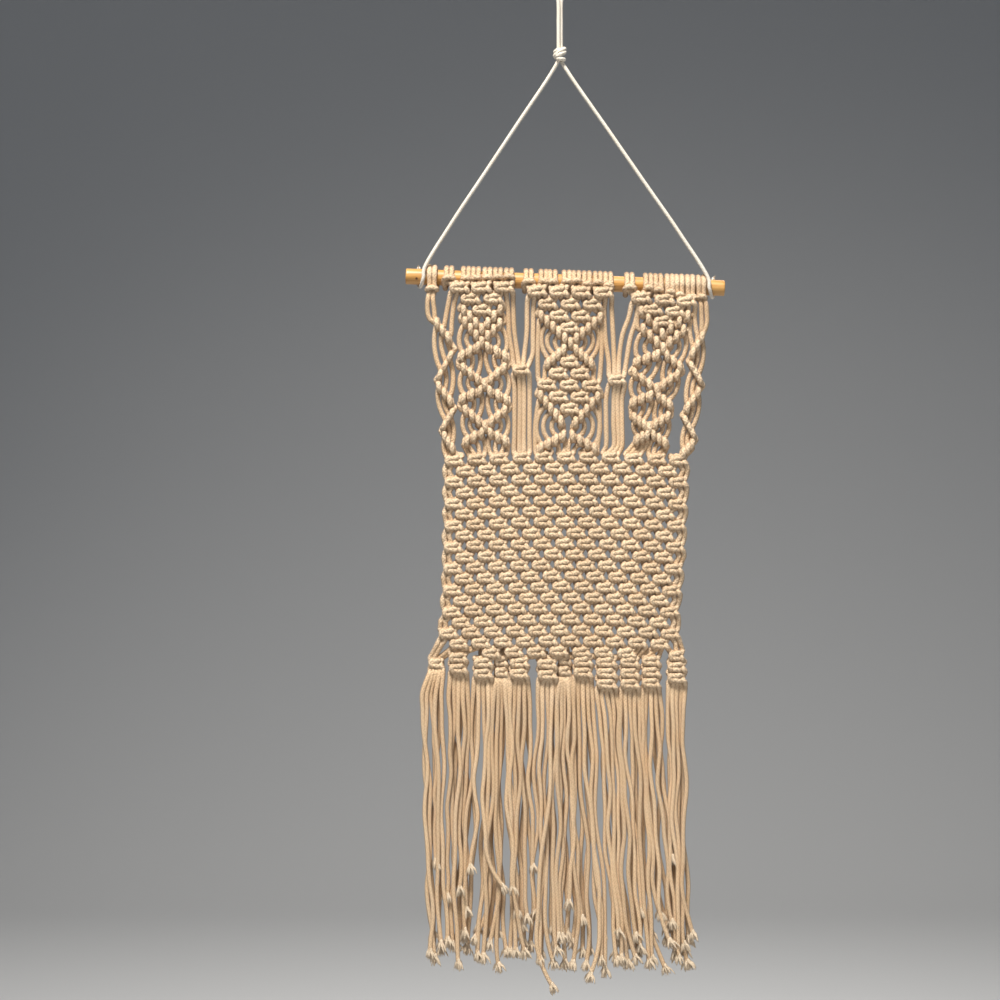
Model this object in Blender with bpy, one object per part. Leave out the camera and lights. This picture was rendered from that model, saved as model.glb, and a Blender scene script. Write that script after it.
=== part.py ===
"""Macrame wall hanging on a wooden rod.

Metres, +Z up, the front faces -Y. The origin is the nail that the hanging loop rests on.
Driving sizes and tables are in millimetres from that nail, x to the right and z up.
"""

import itertools
import math
import random
from collections import namedtuple

import bmesh
import bpy
from mathutils import Vector
from mathutils.geometry import delaunay_2d_cdt

MM = 0.001
GAP = 0.3  # left between pieces that touch
DEEP = Vector((0.0, 1.0, 0.0))

# The rod, which hangs a little lower at its right end.
ROD_LENGTH = 256.0
ROD_DIAMETER = 12.7
ROD_X = 4.3
ROD_Z = -249.2
ROD_TILT = math.radians(2.13)
ROD_SIDES = 16
ROD_STATIONS = 9
ROD_UNEVEN = 0.12

# The hanging cord.
HANGER = 3.0
CORD_STEP = 2.1  # diameters from one point of the cord to the next
KNOT_TOP_Z = -60.0
KNOT_BOTTOM_Z = -72.0
KNOT_WIDTH = 11.0
LOOP_WIDTH = 9.0
LEG_LEFT_X = -110.6
LEG_RIGHT_X = 120.2
LEG_TURN = 250  # degrees that each end goes round the rod
TURN_SAG = 0.6  # how far the turn's straight steps cut inside its circle
LEG_CAP_LEAN = 0.8  # how far the upper rim of a leg's slanting end stands above its middle

# The macrame cord and its knots.
CORD = 4.0
BODY_Y = -7.0  # the knotted body hangs from the front of the rod
HEADING_Y = -10.6
HITCH_THICKNESS = 11.0
HITCH_DEPTH = 9.6
KNOT_HEIGHT = 9.8
KNOT_DEPTH = 9.6
FIELD_EDGE = 3.4
BOWED_LENGTH = 17.0
RING_SEGMENTS = 6
RING_INSIDE = 7.8
RING_OUTSIDE = 10.8

# Where each lark's head sits, along x.
LARKS_HEADS = (
    -104.0,
    -88.8, -75.2, -67.2, -58.0, -49.6, -40.8,
    -25.0, -13.0, -5.8, 5.6, 13.2, 21.6, 30.4, 38.6,
    55.8, 70.8, 78.8, 88.0, 95.0, 103.6,
    114.2,
)
LARKS_HEAD_WIDTH = 6.8
LOW_HEADS = slice(15, 21)  # the heads whose knots hang a little way below them
HEAD_STRAND_TOP = 3.0  # below the rod's middle, inside the head
HEAD_STRAND = 12.0

# Rows of square knots: counts runs from the top row down, half is half the knots' spacing.
KnotField = namedtuple("KnotField", "x top_z half drop slope counts")
KNOT_FIELDS = (
    KnotField(-62.8, -253.6, 9.2, 8.5, 0.0, (3, 2, 1)),
    KnotField(7.6, -258.0, 8.8, 9.4, -0.02, (4, 3, 2, 1)),
    KnotField(82.8, -264.0, 9.1, 8.3, -0.08, (3, 2, 1)),
    KnotField(7.4, -311.6, 8.4, 10.0, -0.02, (1, 2, 3, 2, 1)),
)
GATHERING_KNOTS = ((-31.2, -320.0), (45.2, -328.0))

# Chevrons of double half hitches, from the top down. Each runs from its two edges to its
# middle: a V where the edges are higher, an arch where the middle is. open is half the gap
# that is left where the two arms don't meet.
Chevron = namedtuple("Chevron", "x middle_z edge_z half_width open")
Panel = namedtuple("Panel", "hitches slope chevrons")
SIDE_HITCHES = 3
CENTRE_HITCHES = 5
PANELS = (
    Panel(SIDE_HITCHES, 0.0, (
        Chevron(-62.0, -289.0, -266.5, 18.0, 0.0),
        Chevron(-62.0, -298.5, -280.5, 18.0, 0.0),
        Chevron(-61.0, -301.5, -310.5, 18.8, 0.0),
        Chevron(-60.5, -334.0, -318.5, 18.4, 0.0),
        Chevron(-59.5, -336.5, -345.0, 17.6, 0.0),
        Chevron(-59.2, -367.5, -353.0, 16.8, 0.0),
        Chevron(-58.5, -370.0, -378.0, 18.0, 0.0),
    )),
    Panel(CENTRE_HITCHES, -0.02, (
        Chevron(7.0, -298.4, -275.2, 24.4, 0.0),
        Chevron(7.0, -301.0, -321.6, 20.6, 0.0),
        Chevron(6.0, -363.5, -340.0, 21.6, 4.0),
        Chevron(6.4, -371.0, -382.0, 21.0, 4.4),
    )),
    Panel(SIDE_HITCHES, -0.1, (
        Chevron(84.0, -292.8, -276.4, 20.0, 0.0),
        Chevron(81.6, -304.4, -288.4, 17.6, 0.0),
        Chevron(78.4, -307.0, -317.6, 18.4, 0.0),
        Chevron(76.4, -337.0, -325.6, 18.0, 0.0),
        Chevron(73.6, -339.6, -348.4, 17.2, 0.0),
        Chevron(72.8, -369.0, -358.4, 16.8, 0.0),
        Chevron(72.8, -371.6, -381.6, 15.0, 0.0),
    )),
)

# The two borders: zigzags of double half hitches, corner by corner.
BORDER_HITCHES = 3
BORDERS = (
    ((-103.2, -281.6), (-85.6, -303.2), (-98.4, -323.2), (-84.0, -348.8), (-95.2, -368.8),
     (-83.2, -387.0)),
    ((116.8, -288.0), (102.4, -312.8), (114.4, -332.8), (97.6, -356.0), (108.8, -376.0),
     (95.0, -390.0)),
)

# Single strands of the lace, from the heading or a knot down to the next knot.
LOOSE_STRANDS = (
    ((-105.8, -248.0), (-106.2, -266.0), (-103.6, -283.0)),
    ((-102.2, -248.0), (-100.8, -268.0), (-99.6, -286.0)),
    ((-88.0, -256.0), (-90.4, -272.0), (-93.4, -294.0)),
    ((-84.0, -262.0), (-86.6, -280.0), (-88.2, -299.0)),
    ((112.4, -256.0), (113.4, -276.0), (113.0, -295.0)),
    ((116.0, -256.0), (117.6, -276.0), (116.8, -289.0)),
    ((107.6, -270.0), (108.4, -286.0), (109.6, -300.0)),
    ((103.0, -276.0), (103.4, -292.0), (105.2, -307.0)),
    ((-39.0, -262.0), (-37.4, -290.0), (-35.0, -318.0)),
    ((-43.0, -266.0), (-41.0, -280.0), (-40.4, -300.0), (-34.4, -321.0)),
    ((-25.6, -262.0), (-26.4, -300.0), (-29.4, -318.0)),
    ((-20.0, -266.0), (-20.8, -300.0), (-24.6, -320.0)),
    ((36.4, -266.0), (36.0, -300.0), (40.4, -327.0)),
    ((41.0, -264.0), (42.0, -300.0), (43.6, -326.0)),
    ((57.0, -272.0), (50.6, -288.0), (47.8, -326.0)),
    ((62.6, -276.0), (55.6, -292.0), (52.8, -314.0), (49.0, -328.0)),
    ((-16.8, -272.0), (-17.4, -304.0), (-18.8, -330.0)),
    ((30.6, -272.0), (31.4, -304.0), (29.6, -334.0)),
)
BELOW_GATHERS = ((-36.8, -32.6, -28.6, -24.0), (36.4, 40.6, 44.8, 49.0))

# The net of square knots, cut at twice the pitch of its rows.
NET_KNOTS = 11
NET_ROWS = 9
NET_TOP_Z = -391.0
NET_BOTTOM_Z = -546.0
NET_RISE = 3.6  # how much higher its rows stand in the middle
NET_HOLE_WIDTH = 4.4
NET_HOLE_SHARE = 0.46  # of a row's height
NET_RAISED = 4.6
INSIDE_OUTLINE = 1  # the triangulation's output: only what lies inside the outline
NET_THIN = 2.3
NetEdge = namedtuple("NetEdge", "z left right")
NET_EDGES = (
    NetEdge(-385.0, -94.2, 103.4),
    NetEdge(-475.0, -94.8, 99.6),
    NetEdge(-515.0, -96.4, 95.0),
    NetEdge(-550.0, -103.0, 97.4),
)

# The fringe: one row for each bundle under the net, with its left and right sides, its
# bottom, and its five cut ends as x and z.
Bundle = namedtuple("Bundle", "left right bottom ends")
BUNDLES = (
    Bundle(-110.0, -95.6, -562.0,
           ((-104.0, -785.6), (-100.0, -790.4), (-99.2, -714.4), (-95.2, -779.2), (-90.4, -776.8))),
    Bundle(-88.8, -73.6, -563.0,
           ((-90.4, -741.6), (-85.6, -780.0), (-81.6, -794.4), (-80.8, -736.0), (-76.0, -769.6))),
    Bundle(-69.6, -53.6, -567.0,
           ((-75.2, -753.6), (-72.0, -718.4), (-68.8, -775.2), (-66.0, -788.0), (-61.6, -789.6))),
    Bundle(-52.0, -41.6, -566.0,
           ((-56.0, -779.2), (-48.8, -797.6), (-44.0, -732.8), (-38.4, -734.4), (-35.2, -785.6))),
    Bundle(-40.4, -24.8, -567.0,
           ((-34.4, -753.6), (-31.2, -764.8), (-28.0, -785.6), (-25.6, -758.4), (-22.4, -718.4))),
    Bundle(-18.4, -2.0, -568.0,
           ((-20.0, -755.2), (-16.0, -791.2), (-4.8, -794.4), (-3.2, -808.0), (-2.4, -784.0))),
    Bundle(-0.8, 8.6, -565.0,
           ((-0.8, -772.8), (1.6, -773.6), (4.0, -795.2), (7.2, -746.4), (10.4, -795.2))),
    Bundle(10.4, 25.0, -564.0,
           ((17.6, -759.2), (20.8, -796.0), (24.0, -804.8), (32.8, -792.0), (36.0, -800.8))),
    Bundle(26.4, 41.8, -573.0,
           ((45.6, -792.8), (46.4, -769.6), (48.8, -790.4), (54.4, -795.2), (60.0, -790.4))),
    Bundle(43.4, 59.0, -573.0,
           ((60.8, -772.8), (63.2, -782.4), (65.6, -753.6), (70.4, -794.4), (73.6, -791.2))),
    Bundle(60.4, 74.0, -572.0,
           ((80.0, -755.2), (84.0, -799.2), (88.0, -777.6), (89.6, -762.4), (90.4, -711.2))),
    Bundle(80.0, 94.0, -568.0,
           ((92.0, -786.0), (95.2, -790.0), (99.2, -780.0), (102.4, -795.2), (105.6, -771.2))),
)
STRIP_HEIGHT = 6.0
STRIP_DEPTH = 5.6
FRINGE_STRAND = 3.3
FRINGE_STATIONS = 5
FRINGE_LAYERS = (-3.4, 0.4, 4.2)  # each strand hangs behind or before its neighbours
FRINGE_SWAY = 1.5
TUFT = 3.4
TUFT_LENGTH = 9.0

random.seed(22)


def material(name, colour, roughness):
    """A plain finish with no metal in it."""
    finish = bpy.data.materials.new(name)
    finish.use_nodes = True
    shader = finish.node_tree.nodes["Principled BSDF"]
    shader.inputs["Base Color"].default_value = (*colour, 1.0)
    shader.inputs["Roughness"].default_value = roughness
    shader.inputs["Metallic"].default_value = 0.0
    return finish


def place(name, data, finish):
    """Put a mesh or a curve in the scene as a named piece."""
    data.materials.append(finish)
    piece = bpy.data.objects.new(name, data)
    bpy.context.scene.collection.objects.link(piece)
    return piece


def mesh_of(name, shells):
    """Turn a bmesh of closed shells into a mesh with its faces pointing out."""
    bmesh.ops.recalc_face_normals(shells, faces=shells.faces)
    mesh = bpy.data.meshes.new(name)
    shells.to_mesh(mesh)
    shells.free()
    mesh.shade_smooth()
    mesh.set_sharp_from_angle(angle=math.radians(50))
    return mesh


def jitter(size):
    """A small seeded unevenness, as of handwork."""
    return random.uniform(-size, size)


def rod_z(x):
    """The height of the rod's middle line at x."""
    return ROD_Z - (x - ROD_X) * math.tan(ROD_TILT)


def body_y(z):
    """How far forward the knotted body hangs at a height."""
    below = max(0.0, (ROD_Z - 8.0) - z)
    return BODY_Y + (HEADING_Y - BODY_Y) * math.exp(-below / 14.0)


def hung(x, z, forward=0.0):
    """A point of the knotted body, from its place in the front view."""
    return Vector((x, body_y(z) - forward, z))


def diamond(half_across, half_deep):
    """A four-sided section with one ridge to the front and one to the back."""
    return ((half_across, 0.0), (0.0, half_deep), (-half_across, 0.0), (0.0, -half_deep))


def sweep(shells, route, sections, side, closed=False):
    """Add one closed tube whose section i, in across and side offsets, stands at route[i]."""
    rings = []
    count = len(route)
    for i, point in enumerate(route):
        before = route[i - 1] if closed or i else route[0]
        after = route[(i + 1) % count] if closed or i < count - 1 else route[-1]
        run = (after - before).normalized()
        across = side.cross(run).normalized()
        deep = run.cross(across)
        rings.append([
            shells.verts.new((point + across * u + deep * v) * MM) for u, v in sections[i]
        ])
    pairs = list(zip(rings, rings[1:]))
    if closed:
        pairs.append((rings[-1], rings[0]))
    for upper, lower in pairs:
        for k in range(len(upper)):
            shells.faces.new((upper[k], upper[k - 1], lower[k - 1], lower[k]))
    if not closed:
        shells.faces.new(rings[0])
        shells.faces.new(rings[-1])


def strand(shells, route):
    """Add one strand of the macrame cord along a route, three-sided, its ridge in front."""
    half = CORD / 2
    section = ((half, half * 0.8), (-half, half * 0.8), (0.0, -half))
    sweep(shells, route, [section] * len(route), DEEP)


def larks_head(shells, x):
    """Add one lark's head: the doubled cord's turn round the rod."""
    half = LARKS_HEAD_WIDTH / 2
    rod_run = Vector((math.cos(ROD_TILT), 0.0, -math.sin(ROD_TILT)))
    rod_up = rod_run.cross(DEEP) * -1.0
    middle = (RING_INSIDE + RING_OUTSIDE) / 2
    centre = Vector((x, 0.0, rod_z(x)))
    inside = RING_INSIDE - middle
    outside = RING_OUTSIDE - middle
    section = ((inside, half), (inside, -half), (outside, -half * 0.7), (outside, half * 0.7))
    route = []
    for k in range(RING_SEGMENTS):
        angle = math.tau * (k + 0.5) / RING_SEGMENTS
        route.append(centre + (DEEP * math.cos(angle) + rod_up * math.sin(angle)) * middle)
    outward = 1.0 if rod_run.cross(route[1] - route[-1]).dot(route[0] - centre) > 0 else -1.0
    turned = [[(u * outward, v) for u, v in section]] * RING_SEGMENTS
    sweep(shells, route, turned, rod_run, closed=True)


def head_strands(shells, x):
    """Add the two strands that hang from one lark's head into the knots under it."""
    top = rod_z(x) - HEAD_STRAND_TOP
    for side in (-1.0, 1.0):
        lane = x + side * CORD * 0.44
        strand(shells, (hung(lane, top), hung(lane, top - HEAD_STRAND)))


def gathering_knot(shells, x, z):
    """Add one square knot by itself: a short ridged bar."""
    route = []
    sections = []
    for share, scale in ((-0.94, 0.66), (-0.4, 1.0), (0.4, 0.94), (0.94, 0.66)):
        high = KNOT_HEIGHT / 2 * scale
        deep = KNOT_DEPTH / 2 * scale
        route.append(hung(x + share * KNOT_HEIGHT, z))
        sections.append(((high, 0.0), (0.0, deep), (-high, 0.0), (-high * 0.45, -deep),
                         (high * 0.45, -deep)))
    sweep(shells, route, sections, DEEP)


def knot_field(shells, field):
    """Add a patch of square knots, each raised as a slanted ridge, row under row."""
    left = []
    right = []
    peaks = []
    for row, count in enumerate(field.counts):
        z = field.top_z - row * field.drop
        reach = count * field.half
        for rise in (0.34 * field.drop, -0.34 * field.drop):
            right.append(Vector((field.x + reach, z + field.slope * reach + rise)))
            left.append(Vector((field.x - reach, z - field.slope * reach + rise)))
        for k in range(count):
            dx = (2 * k - (count - 1)) * field.half
            for side in (-1.0, 1.0):
                across = dx + side * field.half * 0.4
                rise = side * field.drop * 0.22
                peaks.append(Vector((field.x + across, z + field.slope * across + rise)))
    outline = right + left[::-1]
    points = outline + peaks
    thickness = [FIELD_EDGE] * len(outline) + [KNOT_DEPTH / 2] * len(peaks)
    knotted_sheet(shells, points, thickness, [range(len(outline))])


def hitch_bar(shells, corners, hitches):
    """Add a ridged bar: a line of double half hitches, so many to each arm."""
    route = [corners[0]]
    for start, end in zip(corners, corners[1:]):
        route += [start.lerp(end, (k + 1) / hitches) for k in range(hitches)]
    sections = []
    for k in range(len(route)):
        ridge = 1.0 if k % 2 else 0.78
        sections.append(diamond(HITCH_THICKNESS / 2 * ridge, HITCH_DEPTH / 2 * ridge))
    sweep(shells, route, sections, DEEP)


def arm_point(panel, chevron, side, share):
    """A point on one arm of a chevron, share 0 at its edge and 1 in its middle."""
    width = chevron.half_width + (chevron.open - chevron.half_width) * share
    x = chevron.x + side * width
    z = chevron.edge_z + (chevron.middle_z - chevron.edge_z) * share
    return hung(x, z + panel.slope * side * width)


def chevron_bar(shells, panel, chevron):
    """Add a chevron, as one bar or as two arms that don't meet."""
    edges = [arm_point(panel, chevron, side, 0.0) for side in (-1.0, 1.0)]
    middles = [arm_point(panel, chevron, side, 1.0) for side in (-1.0, 1.0)]
    if chevron.open:
        hitch_bar(shells, (edges[0], middles[0]), panel.hitches)
        hitch_bar(shells, (edges[1], middles[1]), panel.hitches)
    else:
        hitch_bar(shells, (edges[0], middles[0], edges[1]), panel.hitches)


def strands_between(shells, panel, upper, lower):
    """Add the strands that run from one chevron to the next, bowed where they hang free."""
    splayed = upper.edge_z > upper.middle_z
    for side in (-1.0, 1.0):
        for k in range(panel.hitches):
            share = (k + 0.5) / panel.hitches
            top = arm_point(panel, upper, side, share)
            bottom = arm_point(panel, lower, side, share)
            length = top.z - bottom.z
            if length < HITCH_THICKNESS * 1.1:
                continue
            bow = side * (1.0 if splayed else -1.0) * length * 0.1
            middle = (top + bottom) / 2 + Vector((bow, jitter(0.4), 0.0))
            strand(shells, (top, middle, bottom) if length > BOWED_LENGTH else (top, bottom))


def strands_to_net(shells, panel, chevron):
    """Add the strands that run from the last chevron into the net."""
    for side in (-1.0, 1.0):
        for k in range(panel.hitches + 1):
            share = (k + 0.35) / (panel.hitches + 0.6)
            top = arm_point(panel, chevron, side, share)
            bottom = hung(top.x + side * 0.8, net_z(top.x, 0.0) - 4.0)
            strand(shells, (top, bottom))


def border(shells, corners):
    """Add a border: its zigzag of hitches and the strands that hang between its arms."""
    points = [hung(x, z) for x, z in corners]
    hitch_bar(shells, points, BORDER_HITCHES)
    for i in range(len(points) - 2):
        shared = points[i + 1]
        for k in range(BORDER_HITCHES - 1):
            share = 0.1 + k / BORDER_HITCHES
            top = points[i].lerp(shared, share)
            bottom = points[i + 2].lerp(shared, share)
            strand(shells, (top, bottom))
    last, end = points[-2], points[-1]
    for share in (0.1, 0.45, 0.8):
        top = last.lerp(end, share)
        strand(shells, (top, hung(top.x, net_z(top.x, 0.0) - 4.0)))


def net_side(z, side):
    """The x of the net's left or right edge at a height."""
    for upper, lower in zip(NET_EDGES, NET_EDGES[1:]):
        if z >= lower.z:
            break
    share = (upper.z - z) / (upper.z - lower.z)
    ends = (upper.left, lower.left) if side < 0 else (upper.right, lower.right)
    return ends[0] + (ends[1] - ends[0]) * share


def net_z(x, share):
    """The height of the net's line that lies share of the way down it, at x."""
    middle = (NET_EDGES[0].left + NET_EDGES[0].right) / 2
    half = (NET_EDGES[0].right - NET_EDGES[0].left) / 2
    level = NET_TOP_Z + (NET_BOTTOM_Z - NET_TOP_Z) * share
    return level + NET_RISE * (1.0 - min(1.0, abs(x - middle) / half))


def net_point(column, down):
    """A point of the net's front view, half-pitch columns across and a share down."""
    level = NET_TOP_Z + (NET_BOTTOM_Z - NET_TOP_Z) * down
    left = net_side(level, -1)
    x = left + (net_side(level, 1) - left) * column / (2 * NET_KNOTS)
    return Vector((x, net_z(x, down)))


def net_plan():
    """The net's points in front view, how thick it is at each, and its outline and gaps."""
    points = []
    thickness = []
    loops = []
    outline = [(column, 0.0) for column in range(2 * NET_KNOTS + 1)]
    outline += [(2 * NET_KNOTS, (row + 0.5) / NET_ROWS) for row in range(NET_ROWS)]
    outline += [(column, 1.0) for column in range(2 * NET_KNOTS, -1, -1)]
    outline += [(0, (row + 0.5) / NET_ROWS) for row in reversed(range(NET_ROWS))]
    loops.append(range(len(outline)))
    points += [net_point(column, down) for column, down in outline]
    thickness += [NET_THIN] * len(outline)
    half_gap = NET_HOLE_WIDTH / 2
    for row in range(NET_ROWS):
        down = (row + 0.5) / NET_ROWS
        half_high = NET_HOLE_SHARE / 2 * (NET_TOP_Z - NET_BOTTOM_Z) / NET_ROWS
        for column in range(1, 2 * NET_KNOTS):
            centre = net_point(column, down)
            if (column + row) % 2:
                points.append(centre + Vector((jitter(0.6), jitter(0.6))))
                thickness.append(NET_RAISED)
            elif 1 < column < 2 * NET_KNOTS - 1:
                loops.append(range(len(points), len(points) + 4))
                for across, high in ((-1, -1), (1, -1), (1, 1), (-1, 1)):
                    corner = Vector((across * half_gap, high * half_high))
                    points.append(centre + corner * (1.0 + jitter(0.1)))
                    thickness.append(NET_THIN)
    return points, thickness, loops


def knotted_sheet(shells, points, thickness, loops):
    """Add a sheet whose front view is points, cut to its first loop, with its gaps the others."""
    edges = [(loop[k - 1], loop[k]) for loop in loops for k in range(len(loop))]
    faces = delaunay_2d_cdt(points, edges, [], INSIDE_OUTLINE, 1e-6)[2]
    front = [shells.verts.new(hung(p.x, p.y, thick) * MM) for p, thick in zip(points, thickness)]
    back = [shells.verts.new(hung(p.x, p.y, -thick) * MM) for p, thick in zip(points, thickness)]
    gaps = [set(loop) for loop in loops[1:]]
    for face in faces:
        if any(gap.issuperset(face) for gap in gaps):
            continue
        shells.faces.new([front[k] for k in face])
        shells.faces.new([back[k] for k in face])
    for before, after in edges:
        shells.faces.new((front[before], front[after], back[after], back[before]))


def union(base, parts):
    """Fuse a piece with a mesh of shells that overlap it and each other."""
    parts.hide_render = True
    parts.display_type = "WIRE"
    fuse = base.modifiers.new("fuse", "BOOLEAN")
    fuse.operation = "UNION"
    fuse.object = parts
    fuse.use_self = True


def macrame_panel(finish):
    """The knotted body: heading, lace and net, fused."""
    sheet = bmesh.new()
    knotted_sheet(sheet, *net_plan())
    body = place("macrame_panel", mesh_of("macrame_panel", sheet), finish)
    shells = bmesh.new()
    for x in LARKS_HEADS:
        larks_head(shells, x)
    for x in LARKS_HEADS[LOW_HEADS]:
        head_strands(shells, x)
    for field in KNOT_FIELDS:
        knot_field(shells, field)
    for x, z in GATHERING_KNOTS:
        gathering_knot(shells, x, z)
    for panel in PANELS:
        for chevron in panel.chevrons:
            chevron_bar(shells, panel, chevron)
        for upper, lower in zip(panel.chevrons, panel.chevrons[1:]):
            strands_between(shells, panel, upper, lower)
        strands_to_net(shells, panel, panel.chevrons[-1])
    for corners in BORDERS:
        border(shells, corners)
    for route in LOOSE_STRANDS:
        strand(shells, [hung(x, z) for x, z in route])
    for (x, z), lanes in zip(GATHERING_KNOTS, BELOW_GATHERS):
        for lane in lanes:
            foot = hung(lane, net_z(lane, 0.0) - 4.0)
            strand(shells, (hung(lane, z), foot))
    lace = place("lace_shells", mesh_of("lace_shells", shells), finish)
    union(body, lace)


def fringe_route(bundle, lane, layer):
    """The stations of one fringe strand, from its bundle down to its cut end."""
    share = (lane + 0.5) / len(bundle.ends)
    start_x = bundle.left + (bundle.right - bundle.left) * share
    start_z = bundle.bottom + 4.0
    end_x, end_z = bundle.ends[lane]
    phase = bundle.left * 0.05 + lane * 0.3
    route = []
    for k in range(FRINGE_STATIONS):
        down = k / (FRINGE_STATIONS - 1)
        eased = down * down * (3 - 2 * down)
        sway = FRINGE_SWAY * math.sin(phase + down * 7.0) * math.sin(math.pi * down)
        x = start_x + (end_x - start_x) * eased + sway
        depth = BODY_Y + layer * min(1.0, 0.5 + 2.0 * down)
        route.append(Vector((x, depth, start_z + (end_z - start_z) * down)))
    return route


def fringe_strand(shells, route):
    """Add one fringe strand, three-sided, with its tuft at the cut end."""
    half = FRINGE_STRAND / 2
    tip = route[-1]
    run = (tip - route[-2]).normalized()
    route = [*route[:-1], tip - run * TUFT_LENGTH, tip]
    halves = [half] * (len(route) - 1) + [TUFT / 2]
    sections = [((wide, wide * 0.8), (-wide, wide * 0.8), (0.0, -wide)) for wide in halves]
    sweep(shells, route, sections, DEEP)


def bundle_knot(shells, bundle):
    """Add the knotted head of one bundle, hung from the strip."""
    middle = (bundle.left + bundle.right) / 2
    half = (bundle.right - bundle.left) / 2
    deep = KNOT_DEPTH / 2
    height = strip_z(middle) - bundle.bottom
    route = []
    sections = []
    for share, scale in ((0.0, 0.8), (0.3, 1.0), (0.5, 0.86), (0.75, 1.0), (1.0, 0.82)):
        route.append(Vector((middle, BODY_Y, bundle.bottom + height * (1.0 - share))))
        sections.append([(u * scale, v * scale) for u, v in
                         ((half, 0.0), (half * 0.5, deep), (-half * 0.5, deep),
                          (-half, 0.0), (-half * 0.5, -deep), (half * 0.5, -deep))])
    sweep(shells, route, sections, DEEP)


def strip_z(x):
    """The height of the middle of the narrow strip under the net."""
    return net_z(x, 1.0) - GAP - STRIP_HEIGHT / 2


def fringe(finish):
    """The narrow strip under the net with its bundles and loose ends, fused."""
    left = net_side(NET_BOTTOM_Z, -1)
    right = net_side(NET_BOTTOM_Z, 1)
    stations = 2 * NET_KNOTS
    strip = bmesh.new()
    route = []
    sections = []
    for k in range(stations + 1):
        x = left + (right - left) * k / stations
        route.append(Vector((x, BODY_Y, strip_z(x))))
        ridge = 1.0 if k % 2 else 0.8
        sections.append(diamond(STRIP_HEIGHT / 2, STRIP_DEPTH / 2 * ridge))
    sweep(strip, route, sections, DEEP)
    body = place("fringe", mesh_of("fringe", strip), finish)
    shells = bmesh.new()
    layers = itertools.cycle(FRINGE_LAYERS)
    for bundle in BUNDLES:
        bundle_knot(shells, bundle)
        for lane in range(len(bundle.ends)):
            fringe_strand(shells, fringe_route(bundle, lane, next(layers)))
    parts = place("fringe_shells", mesh_of("fringe_shells", shells), finish)
    union(body, parts)


def rod(finish):
    """The wooden rod, a little uneven along its length, cut square at both ends."""
    shells = bmesh.new()
    route = []
    sections = []
    for k in range(ROD_STATIONS):
        along = ROD_LENGTH * (k / (ROD_STATIONS - 1) - 0.5)
        radius = ROD_DIAMETER / 2 - ROD_UNEVEN + jitter(ROD_UNEVEN)
        route.append(Vector((ROD_X + along * math.cos(ROD_TILT), 0.0,
                             ROD_Z - along * math.sin(ROD_TILT))))
        turns = [math.tau * n / ROD_SIDES for n in range(ROD_SIDES)]
        sections.append([(radius * math.cos(turn), radius * math.sin(turn)) for turn in turns])
    sweep(shells, route, sections, DEEP)
    place("rod", mesh_of("rod", shells), finish)


def smooth_route(points, spacing):
    """Read evenly spaced points from a smooth curve through the given ones."""
    padded = [points[0] * 2 - points[1], *points, points[-1] * 2 - points[-2]]
    fine = []
    for a, b, c, d in zip(padded, padded[1:], padded[2:], padded[3:]):
        for step in range(16):
            t = step / 16
            fine.append(0.5 * (2 * b + (c - a) * t + (2 * a - 5 * b + 4 * c - d) * t * t
                               + (3 * b - a - 3 * c + d) * t * t * t))
    fine.append(points[-1])
    route = [fine[0]]
    travelled = 0.0
    for before, after in zip(fine, fine[1:]):
        travelled += (after - before).length
        if travelled >= spacing:
            route.append(after)
            travelled = 0.0
    route.append(fine[-1])
    return route


def cord(name, points, diameter, finish):
    """A plain round cord along a smooth curve through its points."""
    curve = bpy.data.curves.new(name, "CURVE")
    curve.dimensions = "3D"
    curve.bevel_depth = diameter / 2 * MM
    curve.bevel_resolution = 2
    curve.use_fill_caps = True
    route = smooth_route(points, diameter * CORD_STEP)
    line = curve.splines.new("POLY")
    line.points.add(len(route) - 1)
    for point, place_mm in zip(line.points, route):
        point.co = (*(place_mm * MM), 1.0)
    place(name, curve, finish)


def hanger_leg(name, foot_x, side, finish):
    """One leg of the hanging cord: a turn round the rod, then straight up to the knot."""
    turn_radius = ROD_DIAMETER / 2 + GAP + HANGER / 2 + TURN_SAG
    points = []
    for degrees in range(-LEG_TURN, 1, 25):
        angle = math.radians(degrees)
        x = foot_x - side * HANGER * 1.3 * degrees / 360
        points.append(Vector((x, -turn_radius * math.cos(angle),
                              rod_z(x) + turn_radius * math.sin(angle))))
    start = points[-1]
    lifted = start + Vector((0.0, 0.8, 9.0))
    top = Vector((side * HANGER * 0.62, 0.0, KNOT_BOTTOM_Z - GAP - LEG_CAP_LEAN))
    points += [start + Vector((0.0, 0.2, 5.0)), lifted]
    points += [lifted.lerp(top, share) for share in (0.2, 0.45, 0.7, 0.96)]
    points.append(top)
    cord(name, points, HANGER, finish)


def hanger_knot(finish):
    """The overhand knot that ties the doubled hanging cord."""
    shells = bmesh.new()
    half = KNOT_WIDTH / 2
    height = KNOT_TOP_Z - KNOT_BOTTOM_Z
    turns = [math.tau * n / 10 for n in range(10)]
    route = []
    sections = []
    for share, scale in ((0.0, 0.66), (0.22, 0.98), (0.5, 0.84), (0.76, 1.0), (1.0, 0.62)):
        route.append(Vector((0.0, 0.0, KNOT_TOP_Z - height * share)))
        sections.append([(half * scale * math.cos(turn), half * 0.8 * scale * math.sin(turn))
                         for turn in turns])
    sweep(shells, route, sections, DEEP)
    place("hanger_knot", mesh_of("hanger_knot", shells), finish)


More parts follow.
